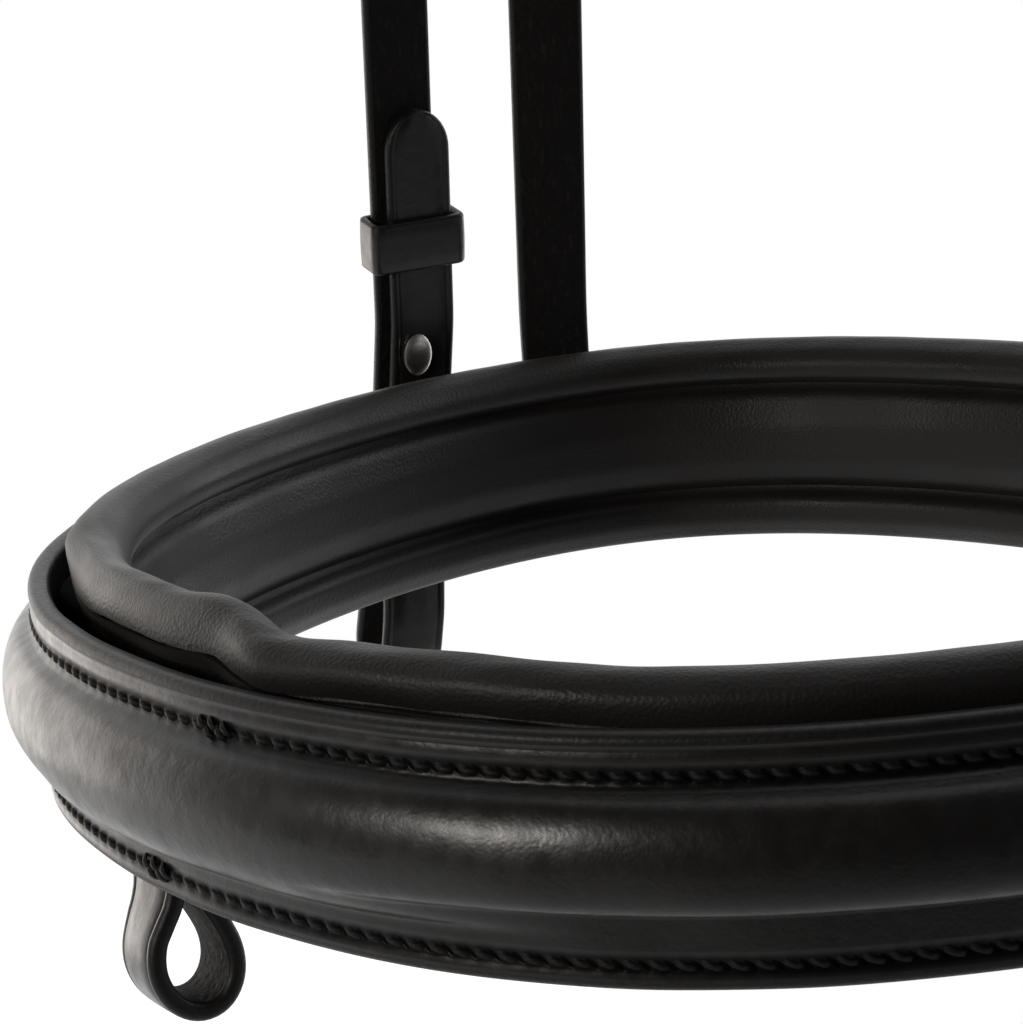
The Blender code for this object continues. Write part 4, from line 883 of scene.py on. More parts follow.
def keeper(node, place, s, length, width, low, high, body):
    """A closed loop of thin leather round the layers of a strap, rounded at its four corners."""
    half = width / 2 + 0.4 + KEEPER_WALL / 2
    low, high = low - GAP - KEEPER_WALL / 2, high + GAP + KEEPER_WALL / 2
    corner, step = 1.15, 0.7
    left, right, inner, outer = corner - half, half - corner, low + corner, high - corner
    corners = [(w, n, corner) for w, n in ((right, outer), (left, outer), (left, inner), (right, inner))]
    points = np.array([place.at(s, w, n) for w, n in rounded_box(corners, 5, step)])
    ahead = unit(np.roll(points, -1, 0) - np.roll(points, 1, 0))
    out = np.cross(place.s, ahead)
    if out[0] @ (points[0] - points.mean(0)) < 0:
        out = -out
    section, finish = strap_section(length, KEEPER_WALL, False)
    grid = laid(points, place.s[None], out, section[None, :, 0], section[None, :, 1])
    skin = Skin().sweep(grid, np.arange(len(points)) * step, girth(section, -length / 2), finish, ring=True)
    add_leather(node, skin, body)


def cut_holes(piece, holes):
    """Cuts oval holes through a strap. Each is a place, where it lies, its two half sizes and its depth."""
    drill = Skin()
    turn = np.linspace(0, 2 * math.pi, 25)[:-1]
    for place, s, long, wide, low, high in holes:
        square = np.sign(np.cos(turn)) * np.abs(np.cos(turn)) ** (0.5 if long > 3 else 1.0)
        ring = [place.at(s + long * c, wide * math.sin(a)) for a, c in zip(turn, square)]
        grid = np.stack([np.array(ring) + place.n * depth for depth in (low, high)])
        drill.sweep(grid, np.array((0.0, high - low)), np.linspace(0, 9, 25))
    data = drill.mesh("drill")
    data.polygons.foreach_set("material_index", [1] * len(drill.faces))
    cutter = new_object("drill", data)
    cut = piece.modifiers.new("holes", "BOOLEAN")
    cut.operation, cut.object, cut.solver = "DIFFERENCE", cutter, "EXACT"
    done = bpy.data.meshes.new_from_object(piece.evaluated_get(bpy.context.evaluated_depsgraph_get()))
    piece.modifiers.remove(cut)
    piece.data = done
    bpy.data.objects.remove(cutter)


def add_leather(node, skin, body, holes=()):
    """Adds a leather piece in place of one node, with its holes."""
    piece = add_piece(node + "_leather", skin, LEATHER, body, [node])
    if holes:
        cut_holes(piece, holes)


def prong_slot(place):
    """The long slot in a strap's fold, through which the prong comes."""
    return place, 0.6, 5.4, 1.6, -6.0, 6.0


def used_hole(place):
    """The billet's hole in use, drawn out by its prong."""
    return place, 1.2, 2.5, 1.35, 1.5, 9.0


def billet_holes(place, above, below):
    """A billet's punched holes: the one in use and some above and below it."""
    holes = [used_hole(place)]
    holes += [(place, 2 + HOLE_SPACING * k, HOLE_RADIUS, HOLE_RADIUS, -4.0, 7.0) for k in range(1, above + 1)]
    return holes + [(place, 2 - HOLE_SPACING * k * 0.86, HOLE_RADIUS, HOLE_RADIUS, BILLET_LAYER - 1.6, 9.0)
                    for k in range(1, below + 1)]


def ring_place(along, off=0.0):
    """A place on the noseband at a station, some way out of its face."""
    way, out, _ = ring_ways(np.array(along))
    return Place(on_ring(along, off, 0.0), way, out)


def round_ring(alongs, off):
    """Points along the noseband's middle, some way out of its face."""
    return [on_ring(float(along), off, 0.0) for along in alongs]


chin = ring_place(CHIN_BAR, 2.7)
chin_up = ring_ways(np.array(CHIN_BAR))[2]
strap_off = STRAP / 2 + 2 * GAP
chape_fold = [(-3.2, 0.4 - FOLD_RADIUS)] + arc_points(FOLD_RADIUS, -90, 90, 14) + [(-4.5, FOLD_RADIUS - 0.2)]
chape_path = round_ring(range(321, 352, 5), strap_off) + [chin.at(s, 0, n) for s, n in chape_fold]
chape_path += round_ring((350, 345, 340, 335), strap_off + STRAP + 2 * GAP)
chape = Strap(eased(chape_path, 1.0, 0.5), chin_up, chin.n, CHIN_WIDTH, share=0.95, step=0.9)
add_leather("chin_chape", chape.skin(), "noseband", [prong_slot(chin)])
buckle("chin_buckle", chin, CHIN_WIDTH, "noseband")
prong("chin_buckle_tongue", "chin_prong", chin, "chin_prong")


def billet_route(tail):
    """The billet's way through a buckle, as (s, n), from above the front bar to the end of its tail."""
    under_bar = RISE - BAR_RADIUS - GAP - STRAP / 2 - 0.4
    return [(BUCKLE_LENGTH + 9, LAYER), (BUCKLE_LENGTH, under_bar), (0, BILLET_OVER_FOLD), (-9, BILLET_LAYER),
            (-tail, BILLET_LAYER)]


over_chape = strap_off + 2 * STRAP + 4 * GAP + 0.2
in_keepers = strap_off + KEEPER_WALL + GAP
billet_path = round_ring([RING_LENGTH - along for along in range(322, 353, 6)], strap_off)
billet_path += round_ring([CHIN_BAR + beyond for beyond in (40, 32, 25)], 1.6)
billet_path += [chin.at(s, 0, n) for s, n in billet_route(9)[1:-1]]
billet_path += round_ring((348, 343, 338, 333), over_chape + 0.3) + round_ring((328,), over_chape - 0.8)
billet_path += round_ring((321,), in_keepers + 1) + round_ring(range(314, 278, -5), in_keepers)
billet_out = ring_ways(np.array(300.0))[1]
billet = Strap(eased(billet_path, 4.0), chin_up, billet_out, CHIN_WIDTH, tip=12.0, share=0.93)
spare_holes = [(ring_place(along), 0, HOLE_RADIUS, HOLE_RADIUS, -2.0, 9.0) for along in (384.0, 300.0)]
add_leather("chin_billet", billet.skin(), "noseband", [used_hole(chin)] + spare_holes)
for node, along in (("chin_keeper_rear", 309.0), ("chin_keeper_front", 291.0)):
    keeper(node, ring_place(along), 0, 7, CHIN_WIDTH, KEEPER_WALL + 2 * GAP, in_keepers + STRAP / 2,
           "noseband")
chin_sewing = chape.sew(Skin(), chape.arc[-1] - 13, chape.arc[-1] - 1.5)
billet.sew(chin_sewing, 2, 28)
add_stitches("chin_stitching", chin_sewing, "noseband")

# Headstrap and hangers
# The noseband hangs on its own strap: sewn into the noseband on the right, over the poll under the
# headpiece, and buckled on the left to a short hanger. Bridle leather with a wire buckle.
POLL_RADIUS, CROWN_PAD_DEPTH, CROWN_THICKNESS = 62.0, 8.0, 3.0
STRAIGHT_BELOW = -115.0
HEADSTRAP_RADIUS = POLL_RADIUS + CROWN_PAD_DEPTH - GAP - STRAP / 2 - 0.2
CROWN_RADIUS = POLL_RADIUS + CROWN_PAD_DEPTH + GAP + CROWN_THICKNESS / 2
HEADSTRAP_TOP_Y, HANGER_TOP_Y, HANGER_BUCKLE_Z = 3.0, 17.1, -290.0
HEADSTRAP_TAIL, HANGER_FOLD = 44, 22
TWIST_FROM, TWIST_TO = -350.0, -425.0
TO_BACK = np.array((0.0, 1.0, 0.0))
FIXED_INSIDE, BILLET_OUTSIDE = -LAYER - STRAP / 2, BILLET_LAYER + STRAP / 2


def poll_arc(radius, y, side, last=90, steps=30):
    """Points over the poll from the top down one side."""
    turns = np.radians(np.linspace(0, last, steps + 1))
    return [np.array((side * radius * math.sin(a), y, radius * math.cos(a) - POLL_RADIUS)) for a in turns]


def over_poll(radius, y, side, last=90):
    """Points over the poll from one side to the other."""
    return poll_arc(radius, y, side, last)[::-1] + poll_arc(radius, y, -side, last)[1:]


def blend(high, high_z, low, low_z):
    """A width direction that turns from one vector to another between two heights."""
    def across(points):
        """The width direction at each point."""
        share = np.clip((high_z - points[:, 2:]) / (high_z - low_z), 0, 1)
        return np.asarray(high, float) * (1 - share) + np.asarray(low, float) * share
    return across


def by_side(left, right):
    """A width direction that follows one rule on the left and another on the right."""
    return lambda points: np.where(points[:, :1] < 0, right(points), left(points))


def bar_place(top, low_end, bar_z, side):
    """The heel bar of a buckle on the straight run between two points."""
    along = unit(top - low_end)
    square = Place(low_end, along, np.array((side, 0.0, 0.0)))
    return Place(low_end + along * ((bar_z - low_end[2]) / along[2]) - square.n * LAYER, along, (side, 0, 0))


def hanger_ends(side):
    """The top of the straight run above the noseband and the point where it goes in."""
    top = np.array((side * HEADSTRAP_RADIUS, HANGER_TOP_Y, STRAIGHT_BELOW))
    return top, on_ring(side * HANGER_AT, HANGER_OFF, BAND_HEIGHT / 2 + 12)


def pocket_end(side):
    """The hanger's end, between the band and the padding."""
    return [on_ring(side * HANGER_AT, HANGER_OFF, h) for h in (BAND_HEIGHT / 2 + 2, HANGER_DEPTH)]


def fold_points(place, back_length):
    """A strap's end turned round a heel bar, from the end of its short layer to the start of its long one."""
    route = [(-8, LAYER), (-3.6, FOLD_RADIUS - 0.45)] + arc_points(FOLD_RADIUS, 90, -90, 16)
    route += [(-3.6, 0.45 - FOLD_RADIUS), (-8, -LAYER), (-back_length, -LAYER)]
    return [place.at(s, 0, n) for s, n in route][::-1]


def billet_points(upper, place, tail):
    """A billet's path: the long run above, eased widely, and its way through the buckle, eased a little."""
    entry = place.at(BUCKLE_LENGTH + 12, 0, LAYER)
    through = [place.at(s, 0, n) for s, n in billet_route(tail)]
    return np.vstack([eased(upper + [entry], 12.0, 1.0)[:-1], eased([entry] + through, 4.0, 0.8)])


def fasten(node, kind, suffix, place, width, runner_at, runner_length):
    """A buckle with its prong, its fixed keeper and, beyond the fold's short layer, its runner."""
    buckle(node + "_buckle", place, width, "headpiece")
    prong(node + "_buckle_tongue", node + "_prong", place, kind + "_prong" + suffix)
    keeper(node + "_keeper", place, -13, 6, width, FIXED_INSIDE, BILLET_OUTSIDE, "headpiece")
    keeper(node + "_runner", place, runner_at, runner_length, width + 0.4, LAYER - STRAP / 2, BILLET_OUTSIDE,
           kind + "_runner" + suffix)


def sewn_fold(strap, place):
    """The stitches that close a strap's fold below its fixed keeper."""
    under_keeper = strap.nearest(place.at(-17, 0, LAYER))
    return strap.sew(Skin(), under_keeper, under_keeper + 7)


hanger_top, hanger_foot = hanger_ends(1)
hanger_bar = bar_place(hanger_top, hanger_foot, HANGER_BUCKLE_Z, 1)
ring_back = {side: ring_ways(np.array(side * HANGER_AT))[0] * side for side in (1, -1)}
outward = np.array((0.5, 0.866, 0.0))
upper_twist = blend(TO_BACK, STRAIGHT_BELOW, outward, TWIST_FROM)
lower_twist = blend(outward, TWIST_FROM, ring_back[-1], TWIST_TO)


def right_twist(points):
    """The headstrap's width direction on the right, where it turns twice on its way down."""
    return np.where(points[:, 2:] > TWIST_FROM, upper_twist(points), lower_twist(points))


head_across = by_side(blend(TO_BACK, STRAIGHT_BELOW, -hanger_bar.w, HANGER_BUCKLE_Z + 40), right_twist)
head_run = pocket_end(-1)[::-1] + list(hanger_ends(-1)[::-1])
head_run += over_poll(HEADSTRAP_RADIUS, HEADSTRAP_TOP_Y, -1) + [hanger_top]
head_path = billet_points(head_run, hanger_bar, HEADSTRAP_TAIL)
headstrap = Strap(head_path, head_across, (1, 0, 0), HANGER_WIDTH, tip=11.0, share=0.97)
add_leather("headstrap", headstrap.skin(), "headpiece", billet_holes(hanger_bar, 4, 1))
hanger_fold = fold_points(hanger_bar, HANGER_FOLD)
hanger_path = np.vstack([hanger_fold, eased([hanger_fold[-1], hanger_foot] + pocket_end(1), 8.0)[1:]])
hanger_across = blend(-hanger_bar.w, -340.0, ring_back[1], TWIST_TO)
left_hanger = Strap(hanger_path, hanger_across, (1, 0, 0), HANGER_WIDTH)
add_leather("hanger_left", left_hanger.skin(), "headpiece", [prong_slot(hanger_bar)])
fasten("hanger", "hanger", "", hanger_bar, HANGER_WIDTH, -31, 8)
add_stitches("hanger_stitching", sewn_fold(left_hanger, hanger_bar), "headpiece")

# Headpiece padding
# A foam pad in black lining leather, sewn under the crown. A channel along its top holds the headstrap.
CROWN_ARC, CROWN_PAD_STEP = 87.4, 0.9
CROWN_WRINKLE, SEAM_AT, SEAM_WIDTH, SEAM_RISE = 0.35, 15.2, 0.7, 0.6
pad_shape = eased_outline([
    (-17, 1.6), (-10, 0.15), (-4, 0), (4, 0), (10, 0.15), (17, 1.6), (20, 5), (18.7, 7.6),
    (18.0, CROWN_PAD_DEPTH), (13, CROWN_PAD_DEPTH), (13, 3.8), (-7, 3.8), (-7, CROWN_PAD_DEPTH),
    (-18.0, CROWN_PAD_DEPTH), (-18.7, 7.6), (-20, 5)], CROWN_PAD_STEP, 0.8)
turns = np.radians(np.linspace(-CROWN_ARC, CROWN_ARC, 130))
spokes = np.stack([np.sin(turns), 0 * turns, np.cos(turns)], -1)
pad_y, pad_n = (np.repeat(pad_shape[None, :, k], len(turns), 0) for k in (0, 1))
arc_mm = turns[:, None] * POLL_RADIUS
under = window(pad_n, -1, 1.2, 1.5) * window(np.abs(arc_mm), 16, 200, 8)
pad_n = pad_n + CROWN_WRINKLE * under * wander((arc_mm, 37.0), (arc_mm + pad_y, 13.0))
pad_n = pad_n + SEAM_RISE * bell(np.abs(pad_y), SEAM_AT, SEAM_WIDTH) * window(pad_n, -1, 3, 1)
pad_grid = laid(np.array([(0, 0, -POLL_RADIUS)]), spokes, TO_BACK[None], POLL_RADIUS + pad_n, pad_y)
pad_skin = Skin().sweep(pad_grid, turns * POLL_RADIUS, np.arange(len(pad_shape) + 1) * CROWN_PAD_STEP)
crown_pad = add_piece("headpiece_padding_leather", pad_skin, [soft_leather], "headpiece", ["crown_pad"])

# Crownpiece
# One wide piece of bridle leather over the poll, slit on each side into a cheek billet and a throat billet,
# with rounded slit ends, punched holes and rounded billet tips.
CROWN_FRONT, CROWN_BACK = -20.3, 18.7
CHEEK_WIDTH, THROAT_WIDTH = 12.8, 11.0
CHEEK_TOP_Y, THROAT_TOP_Y, THROAT_BEND_Y, BEND_Z = -13.8, 13.2, 21.0, -66.0
CHEEK_TAIL, THROAT_TAIL = 46, 40
CHEEK_AT_NOSEBAND, CHEEK_BUCKLE_Z = np.array((131.5, 37.2, -430.0)), -225.0
THROAT_BUCKLE = np.array((89.0, 50.0, -192.0))


def mirrored(vector, side):
    """A vector given for the left, on either side."""
    return np.asarray(vector, float) * (side, 1, 1)


def cheek_place(side):
    """The heel bar of a cheek buckle."""
    top = np.array((side * CROWN_RADIUS, CHEEK_TOP_Y, STRAIGHT_BELOW))
    return bar_place(top, mirrored(CHEEK_AT_NOSEBAND, side), CHEEK_BUCKLE_Z, side)


def throat_place(side):
    """The heel bar of a throatlatch buckle."""
    bar = mirrored(THROAT_BUCKLE, side)
    return Place(bar, np.array((side * CROWN_RADIUS, THROAT_BEND_Y, STRAIGHT_BELOW)) - bar, (side, 0, 0))


def crown_strip(top_y, bend_y, place_of, tail):
    """One long path: the left billet's tip, over the poll and down to the right billet's tip."""
    halves = []
    for side in (1, -1):
        over_top = poll_arc(CROWN_RADIUS, top_y, side, CROWN_ARC)
        down = [np.array((side * CROWN_RADIUS, y, z)) for y, z in ((top_y, BEND_Z), (bend_y, STRAIGHT_BELOW))]
        halves.append(np.vstack([over_top[:-1], billet_points([over_top[-1]] + down, place_of(side), tail)]))
    return np.vstack([halves[0][::-1], halves[1][1:]])


def crown_across(place_of):
    """The width direction of a strip whose billets turn to lie as their buckles do."""
    ends = [(side, place_of(side)) for side in (1, -1)]
    return by_side(*(blend(TO_BACK, STRAIGHT_BELOW, -side * end.w, end.origin[2] + 30) for side, end in ends))


crown_skin = Skin()
for top_y, bend_y, place_of, width, tail in (
        (CHEEK_TOP_Y, CHEEK_TOP_Y, cheek_place, CHEEK_WIDTH, CHEEK_TAIL),
        (THROAT_TOP_Y, THROAT_BEND_Y, throat_place, THROAT_WIDTH, THROAT_TAIL)):
    strip_path = crown_strip(top_y, bend_y, place_of, tail)
    Strap(strip_path, crown_across(place_of), (0, 0, 1), width, tip=11.0, tips=(0, 1)).skin(crown_skin)
crown_path = over_poll(CROWN_RADIUS, (CROWN_FRONT + CROWN_BACK) / 2, 1, CROWN_ARC)
Strap(crown_path, TO_BACK, (0, 0, 1), CROWN_BACK - CROWN_FRONT, CROWN_THICKNESS).skin(crown_skin)
crown_holes = [hole for place_of in (cheek_place, throat_place) for side in (1, -1)
               for hole in billet_holes(place_of(side), 2, 1)]
add_leather("crownpiece", crown_skin, "headpiece", crown_holes)

# Cheekpieces
# Half-inch straps folded round their buckles at the top. Each lower end turns round the bit's ring, runs
# back up behind the strap through a sliding keeper and hooks on a flat steel stud.
BIT_LOOP_BOTTOM, HOOK_BILLET_TOP, HOOK_STUD_Z, HOOK_KEEPER_Z = 491.0, 374.0, -422.0, -400.5
BILLET_ASIDE, LOOP_LEAN, CHEEK_TWIST = 2.2, 6.0, math.radians(14)
LOOP_RADIUS, LOOP_LENGTH = 6.3, 27


def hook_stud(node, place, s, inside, outside, body):
    """A steel rivet through both layers, with a low domed head outside and an oval button inside."""
    head = ((0.78, 0.15), (0.74, 0.9), (0.62, 1.8), (0.4, 2.5), (0.12, 2.8), (0, 2.7), (0, 1.3))
    button = ((0, 1.3), (0, 2.6), (0.35, 2.95), (0.9, 3.0), (1.3, 2.5), (1.48, 1.5), (1.52, 0.2))
    rows = [(outside + GAP + rise, radius, 1.0) for rise, radius in head]
    rows += [(inside - GAP - rise, radius, 1.0 if radius == 1.3 else 1.45) for rise, radius in button]
    turn = np.arange(28) * 2 * math.pi / 28
    grid = [[place.at(s + radius * stretch * math.sin(a), radius * math.cos(a), n) for a in turn]
            for n, radius, stretch in rows]
    skin = Skin().sweep(np.array(grid), np.arange(len(rows)) * 0.6, np.linspace(0, 18, 29))
    add_steel(node + "_steel", skin, body, node)


for side, name in ((1, "left"), (-1, "right")):
    node = "cheekpiece_" + name
    bar = cheek_place(side)
    heights = np.array((-BIT_LOOP_BOTTOM, -HOOK_BILLET_TOP, HOOK_STUD_Z, HOOK_KEEPER_Z))
    bottom, flap, stud, hook = (heights - bar.origin[2]) / bar.s[2]
    inner = LAYER - STRAP - 0.5
    centre = (LAYER + inner) / 2
    bulge = LOOP_RADIUS * 0.86
    route = [(stud + 6, LAYER), (bottom + LOOP_LENGTH, LAYER), (bottom + 14, centre + bulge)]
    route += arc_points(LOOP_RADIUS, 70, 290, 24, bottom + LOOP_RADIUS, centre)
    route += [(bottom + 14, centre - bulge), (bottom + LOOP_LENGTH, inner), (stud + 6, inner), (flap, inner)]
    s_way, n_way = np.array(route).T
    lean = LOOP_LEAN * np.clip((stud - s_way) / (stud - bottom), 0, 1)
    lean = lean - BILLET_ASIDE * np.clip((s_way - bottom) / LOOP_LENGTH, 0, 1) * (n_way < centre)
    aft = bar.w * np.sign(bar.w[1])
    lower = Place(bar.at(0, 0, centre), bar.s, bar.n * math.cos(CHEEK_TWIST) + aft * math.sin(CHEEK_TWIST))
    low_end = [lower.at(s, side * w, n - centre) for (s, n), w in zip(route, lean)]
    fold = fold_points(bar, 24)
    cheek_path = np.vstack([fold, eased([fold[-1]] + low_end, 4.0, 0.8)[1:]])
    cheek_across = blend(-side * bar.w, -262.0, -side * lower.w, -345.0)
    cheek = Strap(cheek_path, cheek_across, (side, 0, 0), CHEEK_WIDTH + 0.6, tip=8.0, share=0.35)
    add_leather(node, cheek.skin(), "headpiece", [prong_slot(bar), (lower, stud, 1.7, 1.7, -8.0, 8.0)])
    fasten(node, "cheek", "_" + name, bar, CHEEK_WIDTH, -32, 8)
    between = Place(lower.at(0, -side * (0.2 + BILLET_ASIDE / 2)), lower.s, lower.n)
    reach = (LAYER - inner + STRAP) / 2
    keeper(node + "_hook_keeper", between, hook + 0.8, 10.2, CHEEK_WIDTH + BILLET_ASIDE + 1.0, -reach, reach,
           "hook_keeper_" + name)
    hook_stud(node + "_hook_stud", lower, stud, -reach, reach, "headpiece")
    add_stitches(node + "_stitching", sewn_fold(cheek, bar), "headpiece")

# Throatlatch
# A narrow strap under the throat with a buckle at each end, where the headpiece's throat billets fasten.
THROAT_BOTTOM = np.array((0.0, 112.0, -338.0))
throat_bars = {side: throat_place(side) for side in (1, -1)}
throat_down = {}
for side, bar in throat_bars.items():
    throat_down[side] = [bar.at(-41, 0, LAYER), bar.at(-64, 0, LAYER)]
    throat_down[side] += [mirrored((84, 100, -305), side), mirrored((46, 110, -331), side)]
throat_run = eased(throat_down[1] + [THROAT_BOTTOM] + throat_down[-1][::-1], 40.0)
throat_path = np.vstack([fold_points(throat_bars[1], 20), throat_run, fold_points(throat_bars[-1], 20)[::-1]])
throat_across = by_side(*(blend(-side * bar.w, -250.0, TO_BACK, -320.0) for side, bar in throat_bars.items()))
throatlatch = Strap(throat_path, throat_across, (0, 0.3, -1), THROAT_WIDTH)
throat_slots = [prong_slot(bar) for bar in throat_bars.values()]
add_leather("throatlatch", throatlatch.skin(), "headpiece", throat_slots)
for side, name in ((1, "left"), (-1, "right")):
    fasten("throatlatch_" + name, "throat", "_" + name, throat_bars[side], THROAT_WIDTH, -29, 7)

# Browband
# A padded band across the forehead. Each end folds round the headpiece's straps and is sewn back on itself.
BROW_Z, BROW_HEIGHT, BROW_STRAP = -90.0, 20.0, 2.2
BROW_FORWARD, BROW_HALF, BROW_PAD_FROM = 112.0, 88.0, -48.0
BROW_PAD_DEPTH, BROW_PAD_STEP, BROW_PAD_ENDS = 5.2, 1.1, 14
BROW_LOOP_FRONT, BROW_LOOP_BACK, BROW_ROOM, BROW_DIP = -23.5, 31.0, 0.8, 8


def brow_curve(share):
    """A point of the browband's bow, from the left loop round the forehead to the right loop."""
    turn = math.pi * share
    x = BROW_HALF * math.copysign(abs(math.cos(turn)) ** 0.86, math.cos(turn))
    return np.array((x, -20 - BROW_FORWARD * math.sin(turn) ** 0.95, BROW_Z - BROW_DIP * math.sin(turn) ** 2))


def brow_loop(side):
    """The browband's end, folded round the straps and sewn back on itself."""
    inner = HEADSTRAP_RADIUS - STRAP / 2 - BROW_ROOM - BROW_STRAP / 2
    outer = CROWN_RADIUS + CROWN_THICKNESS / 2 + BROW_ROOM + BROW_STRAP / 2
    front, rear = BROW_LOOP_FRONT, BROW_LOOP_BACK
    points = [(outer + 2.0, front - 18), (outer - 0.9, front - 7), (inner + 2, front), (inner, front + 5),
              (inner, rear - 3), (inner + 2.6, rear), (outer - 2.6, rear), (outer, rear - 3),
              (outer, front + 3), (outer + 1.6, front - 7)]
    return [np.array((side * x, y, BROW_Z)) for x, y in points]


bow = [brow_curve(share) for share in np.linspace(0.1, 0.9, 41)]
brow_path = eased(brow_loop(1) + bow + brow_loop(-1)[::-1], 6.0)
browband = Strap(brow_path, (0, 0, 1), (0, -1, 0), BROW_HEIGHT, BROW_STRAP)
add_leather("browband", browband.skin(), "browband")
pad_from = browband.points[:, 1] < BROW_PAD_FROM
pad_points, pad_out, pad_arc = browband.points[pad_from], -browband.out[pad_from], browband.arc[pad_from]
from_ends = np.minimum(pad_arc - pad_arc[0], pad_arc[-1] - pad_arc)
swell = BROW_PAD_DEPTH * np.sqrt(np.clip(from_ends / BROW_PAD_ENDS, 0.05, 1))
swell = swell * (1 + 0.04 * wander((pad_arc, 31.0), (pad_arc, 12.0)))
edge = BROW_HEIGHT / 2
puff = eased_outline([(0, edge - 1), (0.7, edge - 1.3), (1, edge - 5), (1.05, 0), (1, 5 - edge),
                      (0.7, 1.3 - edge), (0, 1 - edge)], BROW_PAD_STEP, 0.8)
pad_off = BROW_STRAP / 2 + GAP + puff[:, 0] * swell[:, None]
pad_grid = laid(pad_points, pad_out, np.array([(0, 0, 1)]), pad_off, puff[None, :, 1])
pad_skin = Skin().sweep(pad_grid, pad_arc, np.arange(len(puff) + 1) * BROW_PAD_STEP)
brow_pad = add_piece("browband_padding_leather", pad_skin, [soft_leather], "browband", ["browband_padding"])
brow_stitches = browband.sew(Skin(), pad_arc[0] + 2, pad_arc[-1] - 2, 2.7)
add_stitches("browband_stitching", brow_stitches, "browband")

# Studio
# A white backdrop and floor. In reflections both are bright behind the bridle and dim on the camera's side.
# A large soft lamp stands on the camera's left and a weak one on its right, a small one by the nose, large
# ones above and behind.
FLOOR_Z = -0.78
FLOOR_CORNERS = ((-0.9, -0.9), (0.9, -0.9), (0.9, 0.45), (-0.9, 0.45))
PAPER_BRIGHTENS, PAPER_RANGE, PAPER_GLOW = (-0.9, 0.25, 0.0), (0.05, 1.2, -0.85, 0.4), 0.96
SKY_BRIGHTENS, SKY_RANGE = (-0.76, 0.58, -0.28), (0.04, 1.65, -0.42, 0.78)
WHITE = (1, 1, 1, 1)


def toward(tree, place, way):
    """How far a point or direction lies in one way."""
    inputs = {0: place, 1: way}
    return add_node(tree, "ShaderNodeVectorMath", inputs, operation="DOT_PRODUCT").outputs["Value"]


def studio_white():
    """Matt white paper. It adds a little light of its own to what the camera and reflections see."""
    made, tree, shader = new_material("white studio paper", Roughness=0.9, Emission_Color=WHITE)
    seen = add_node(tree, "ShaderNodeLightPath").outputs
    away = toward(tree, place_in(tree), PAPER_BRIGHTENS)
    reflected = ranged(tree, away, *PAPER_RANGE, "SMOOTHSTEP")
    glow = worked(tree, "MULTIPLY_ADD", seen["Is Glossy Ray"], reflected, seen["Is Camera Ray"])
    glow = worked(tree, "MULTIPLY", worked(tree, "MAXIMUM", glow, seen["Is Transmission Ray"]), PAPER_GLOW)
    tree.links.new(blended(tree, clouds(tree, 0.0025, 2.0), "747474", "7c7c7c"), shader.inputs["Base Color"])
    tree.links.new(glow, shader.inputs["Emission Strength"])
    return made


floor_data = bpy.data.meshes.new("studio_floor")
floor_data.from_pydata([(x, y, FLOOR_Z) for x, y in FLOOR_CORNERS], [], [(0, 1, 2, 3)])
floor_data.materials.append(studio_white())
floor = new_object("studio_floor", floor_data)

world = bpy.data.worlds.new("studio")
world.use_nodes = True
bpy.context.scene.world = world
sky = world.node_tree
sky.nodes.clear()
rays = add_node(sky, "ShaderNodeLightPath").outputs
sky_way = add_node(sky, "ShaderNodeTexCoord").outputs["Generated"]
mirrored_sky = ranged(sky, toward(sky, sky_way, SKY_BRIGHTENS), *SKY_RANGE, "SMOOTHSTEP")
straight = worked(sky, "MAXIMUM", rays["Is Camera Ray"], rays["Is Transmission Ray"])
power_inputs = {"Factor": straight, "A": mirrored_sky, "B": 1.0}
sky_power = add_node(sky, "ShaderNodeMix", power_inputs, data_type="FLOAT").outputs["Result"]
backdrop = add_node(sky, "ShaderNodeBackground", {"Color": WHITE, "Strength": sky_power})
add_node(sky, "ShaderNodeOutputWorld", {"Surface": backdrop.outputs["Background"]})


def set_up(thing, right, up, back, place):
    """Places and turns an object by its own right, up and back, in metres."""
    columns = [(right[k], up[k], back[k], place[k]) for k in range(3)]
    thing.matrix_world = Matrix(columns + [(0, 0, 0, 1)])


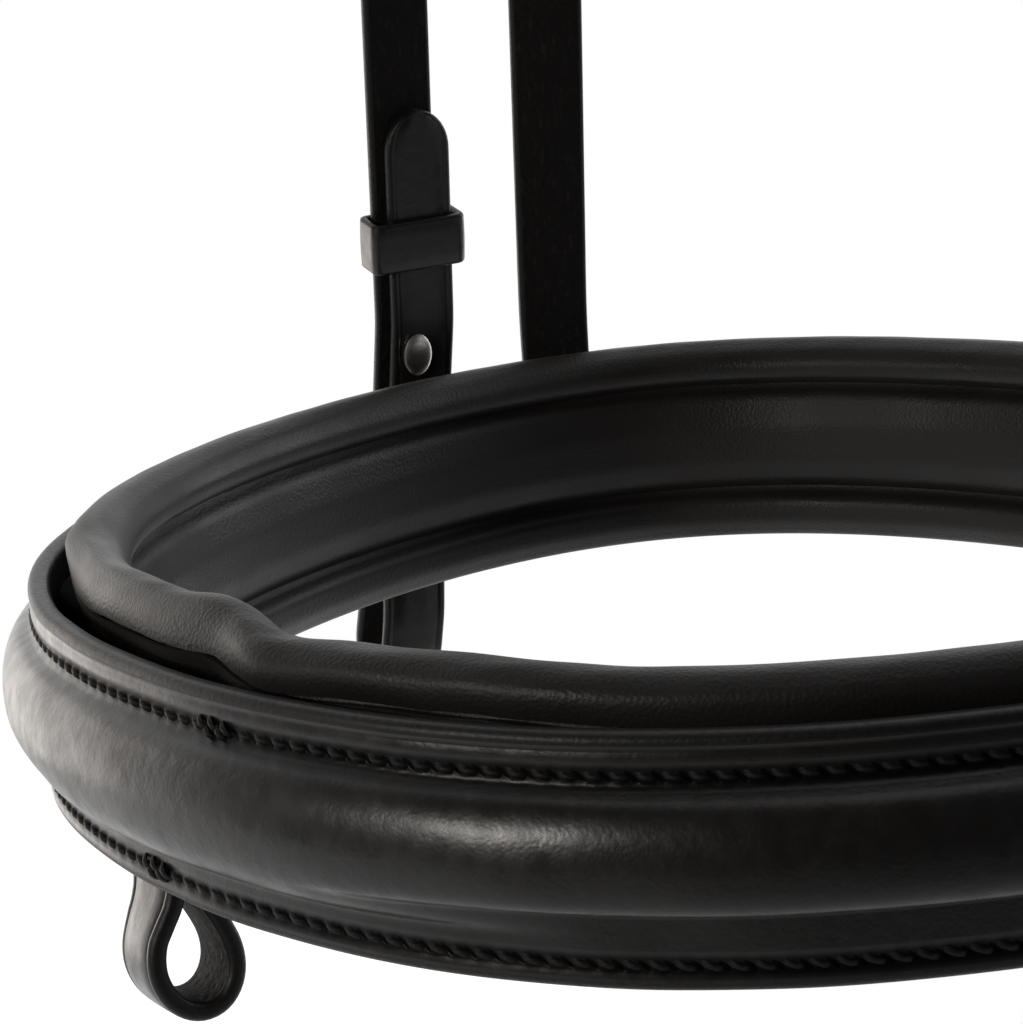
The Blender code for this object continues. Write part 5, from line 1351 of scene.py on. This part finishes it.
for name, place, target, size, power, tint in (
        ("side_softbox", (-1.1, -0.35, -0.45), (0.0, 0.0, -0.45), (0.8, 0.8), 4.5, "fff4ea"),
        ("key_softbox", (0.085, -0.97, -0.23), (0.05, -0.1, -0.45), (0.29, 0.13), 5.2, "fffaf4"),
        ("top_softbox", (0.0, 0.15, 0.75), (0.0, 0.05, -0.3), (1.1, 1.1), 3.6, "ffffff"),
        ("fill_softbox", (1.1, 0.45, -0.52), (0.0, 0.0, -0.4), (0.7, 0.6), 1.1, "f4f6ff"),
        ("back_softbox", (0.25, 1.1, 0.1), (0.0, 0.0, -0.4), (0.8, 0.8), 7.0, "ffffff")):
    lamp = bpy.data.lights.new(name, "AREA")
    lamp.shape = "RECTANGLE"
    lamp.size, lamp.size_y = size
    lamp.energy = power
    lamp.color = colour(tint)[:3]
    aim = unit(np.subtract(target, place))
    beside = unit(np.cross(aim, (0, 0, 1)))
    set_up(new_object(name, lamp), beside, np.cross(beside, aim), -aim, place)

# Camera
# It stands before the horse's left cheek, a little above the noseband, as close as the photograph does.
CAMERA_FROM_RING = np.array((293.8, -280.6, 87.5))
CAMERA_AZIMUTH, CAMERA_HEIGHT, CAMERA_ROLL = (math.radians(a) for a in (51.654, 10.111, -0.61))
FOCAL_PIXELS, LONG_SIDE, SENSOR = 2598.9, 1024, 36.0
back = np.array((math.sin(CAMERA_AZIMUTH) * math.cos(CAMERA_HEIGHT),
                 -math.cos(CAMERA_AZIMUTH) * math.cos(CAMERA_HEIGHT), math.sin(CAMERA_HEIGHT)))
right = np.array((math.cos(CAMERA_AZIMUTH), math.sin(CAMERA_AZIMUTH), 0))
up = np.cross(back, right)
right, up = (right * math.cos(CAMERA_ROLL) + up * math.sin(CAMERA_ROLL),
             up * math.cos(CAMERA_ROLL) - right * math.sin(CAMERA_ROLL))
camera_data = bpy.data.cameras.new("camera")
camera_data.sensor_width = SENSOR
camera_data.lens = FOCAL_PIXELS / LONG_SIDE * SENSOR
camera_data.clip_start = 0.01
camera = new_object("camera", camera_data)
set_up(camera, right, up, back, (CAMERA_FROM_RING + RING_CENTRE) / MM)
bpy.context.scene.camera = camera
bpy.context.scene.view_settings.view_transform = "Standard"
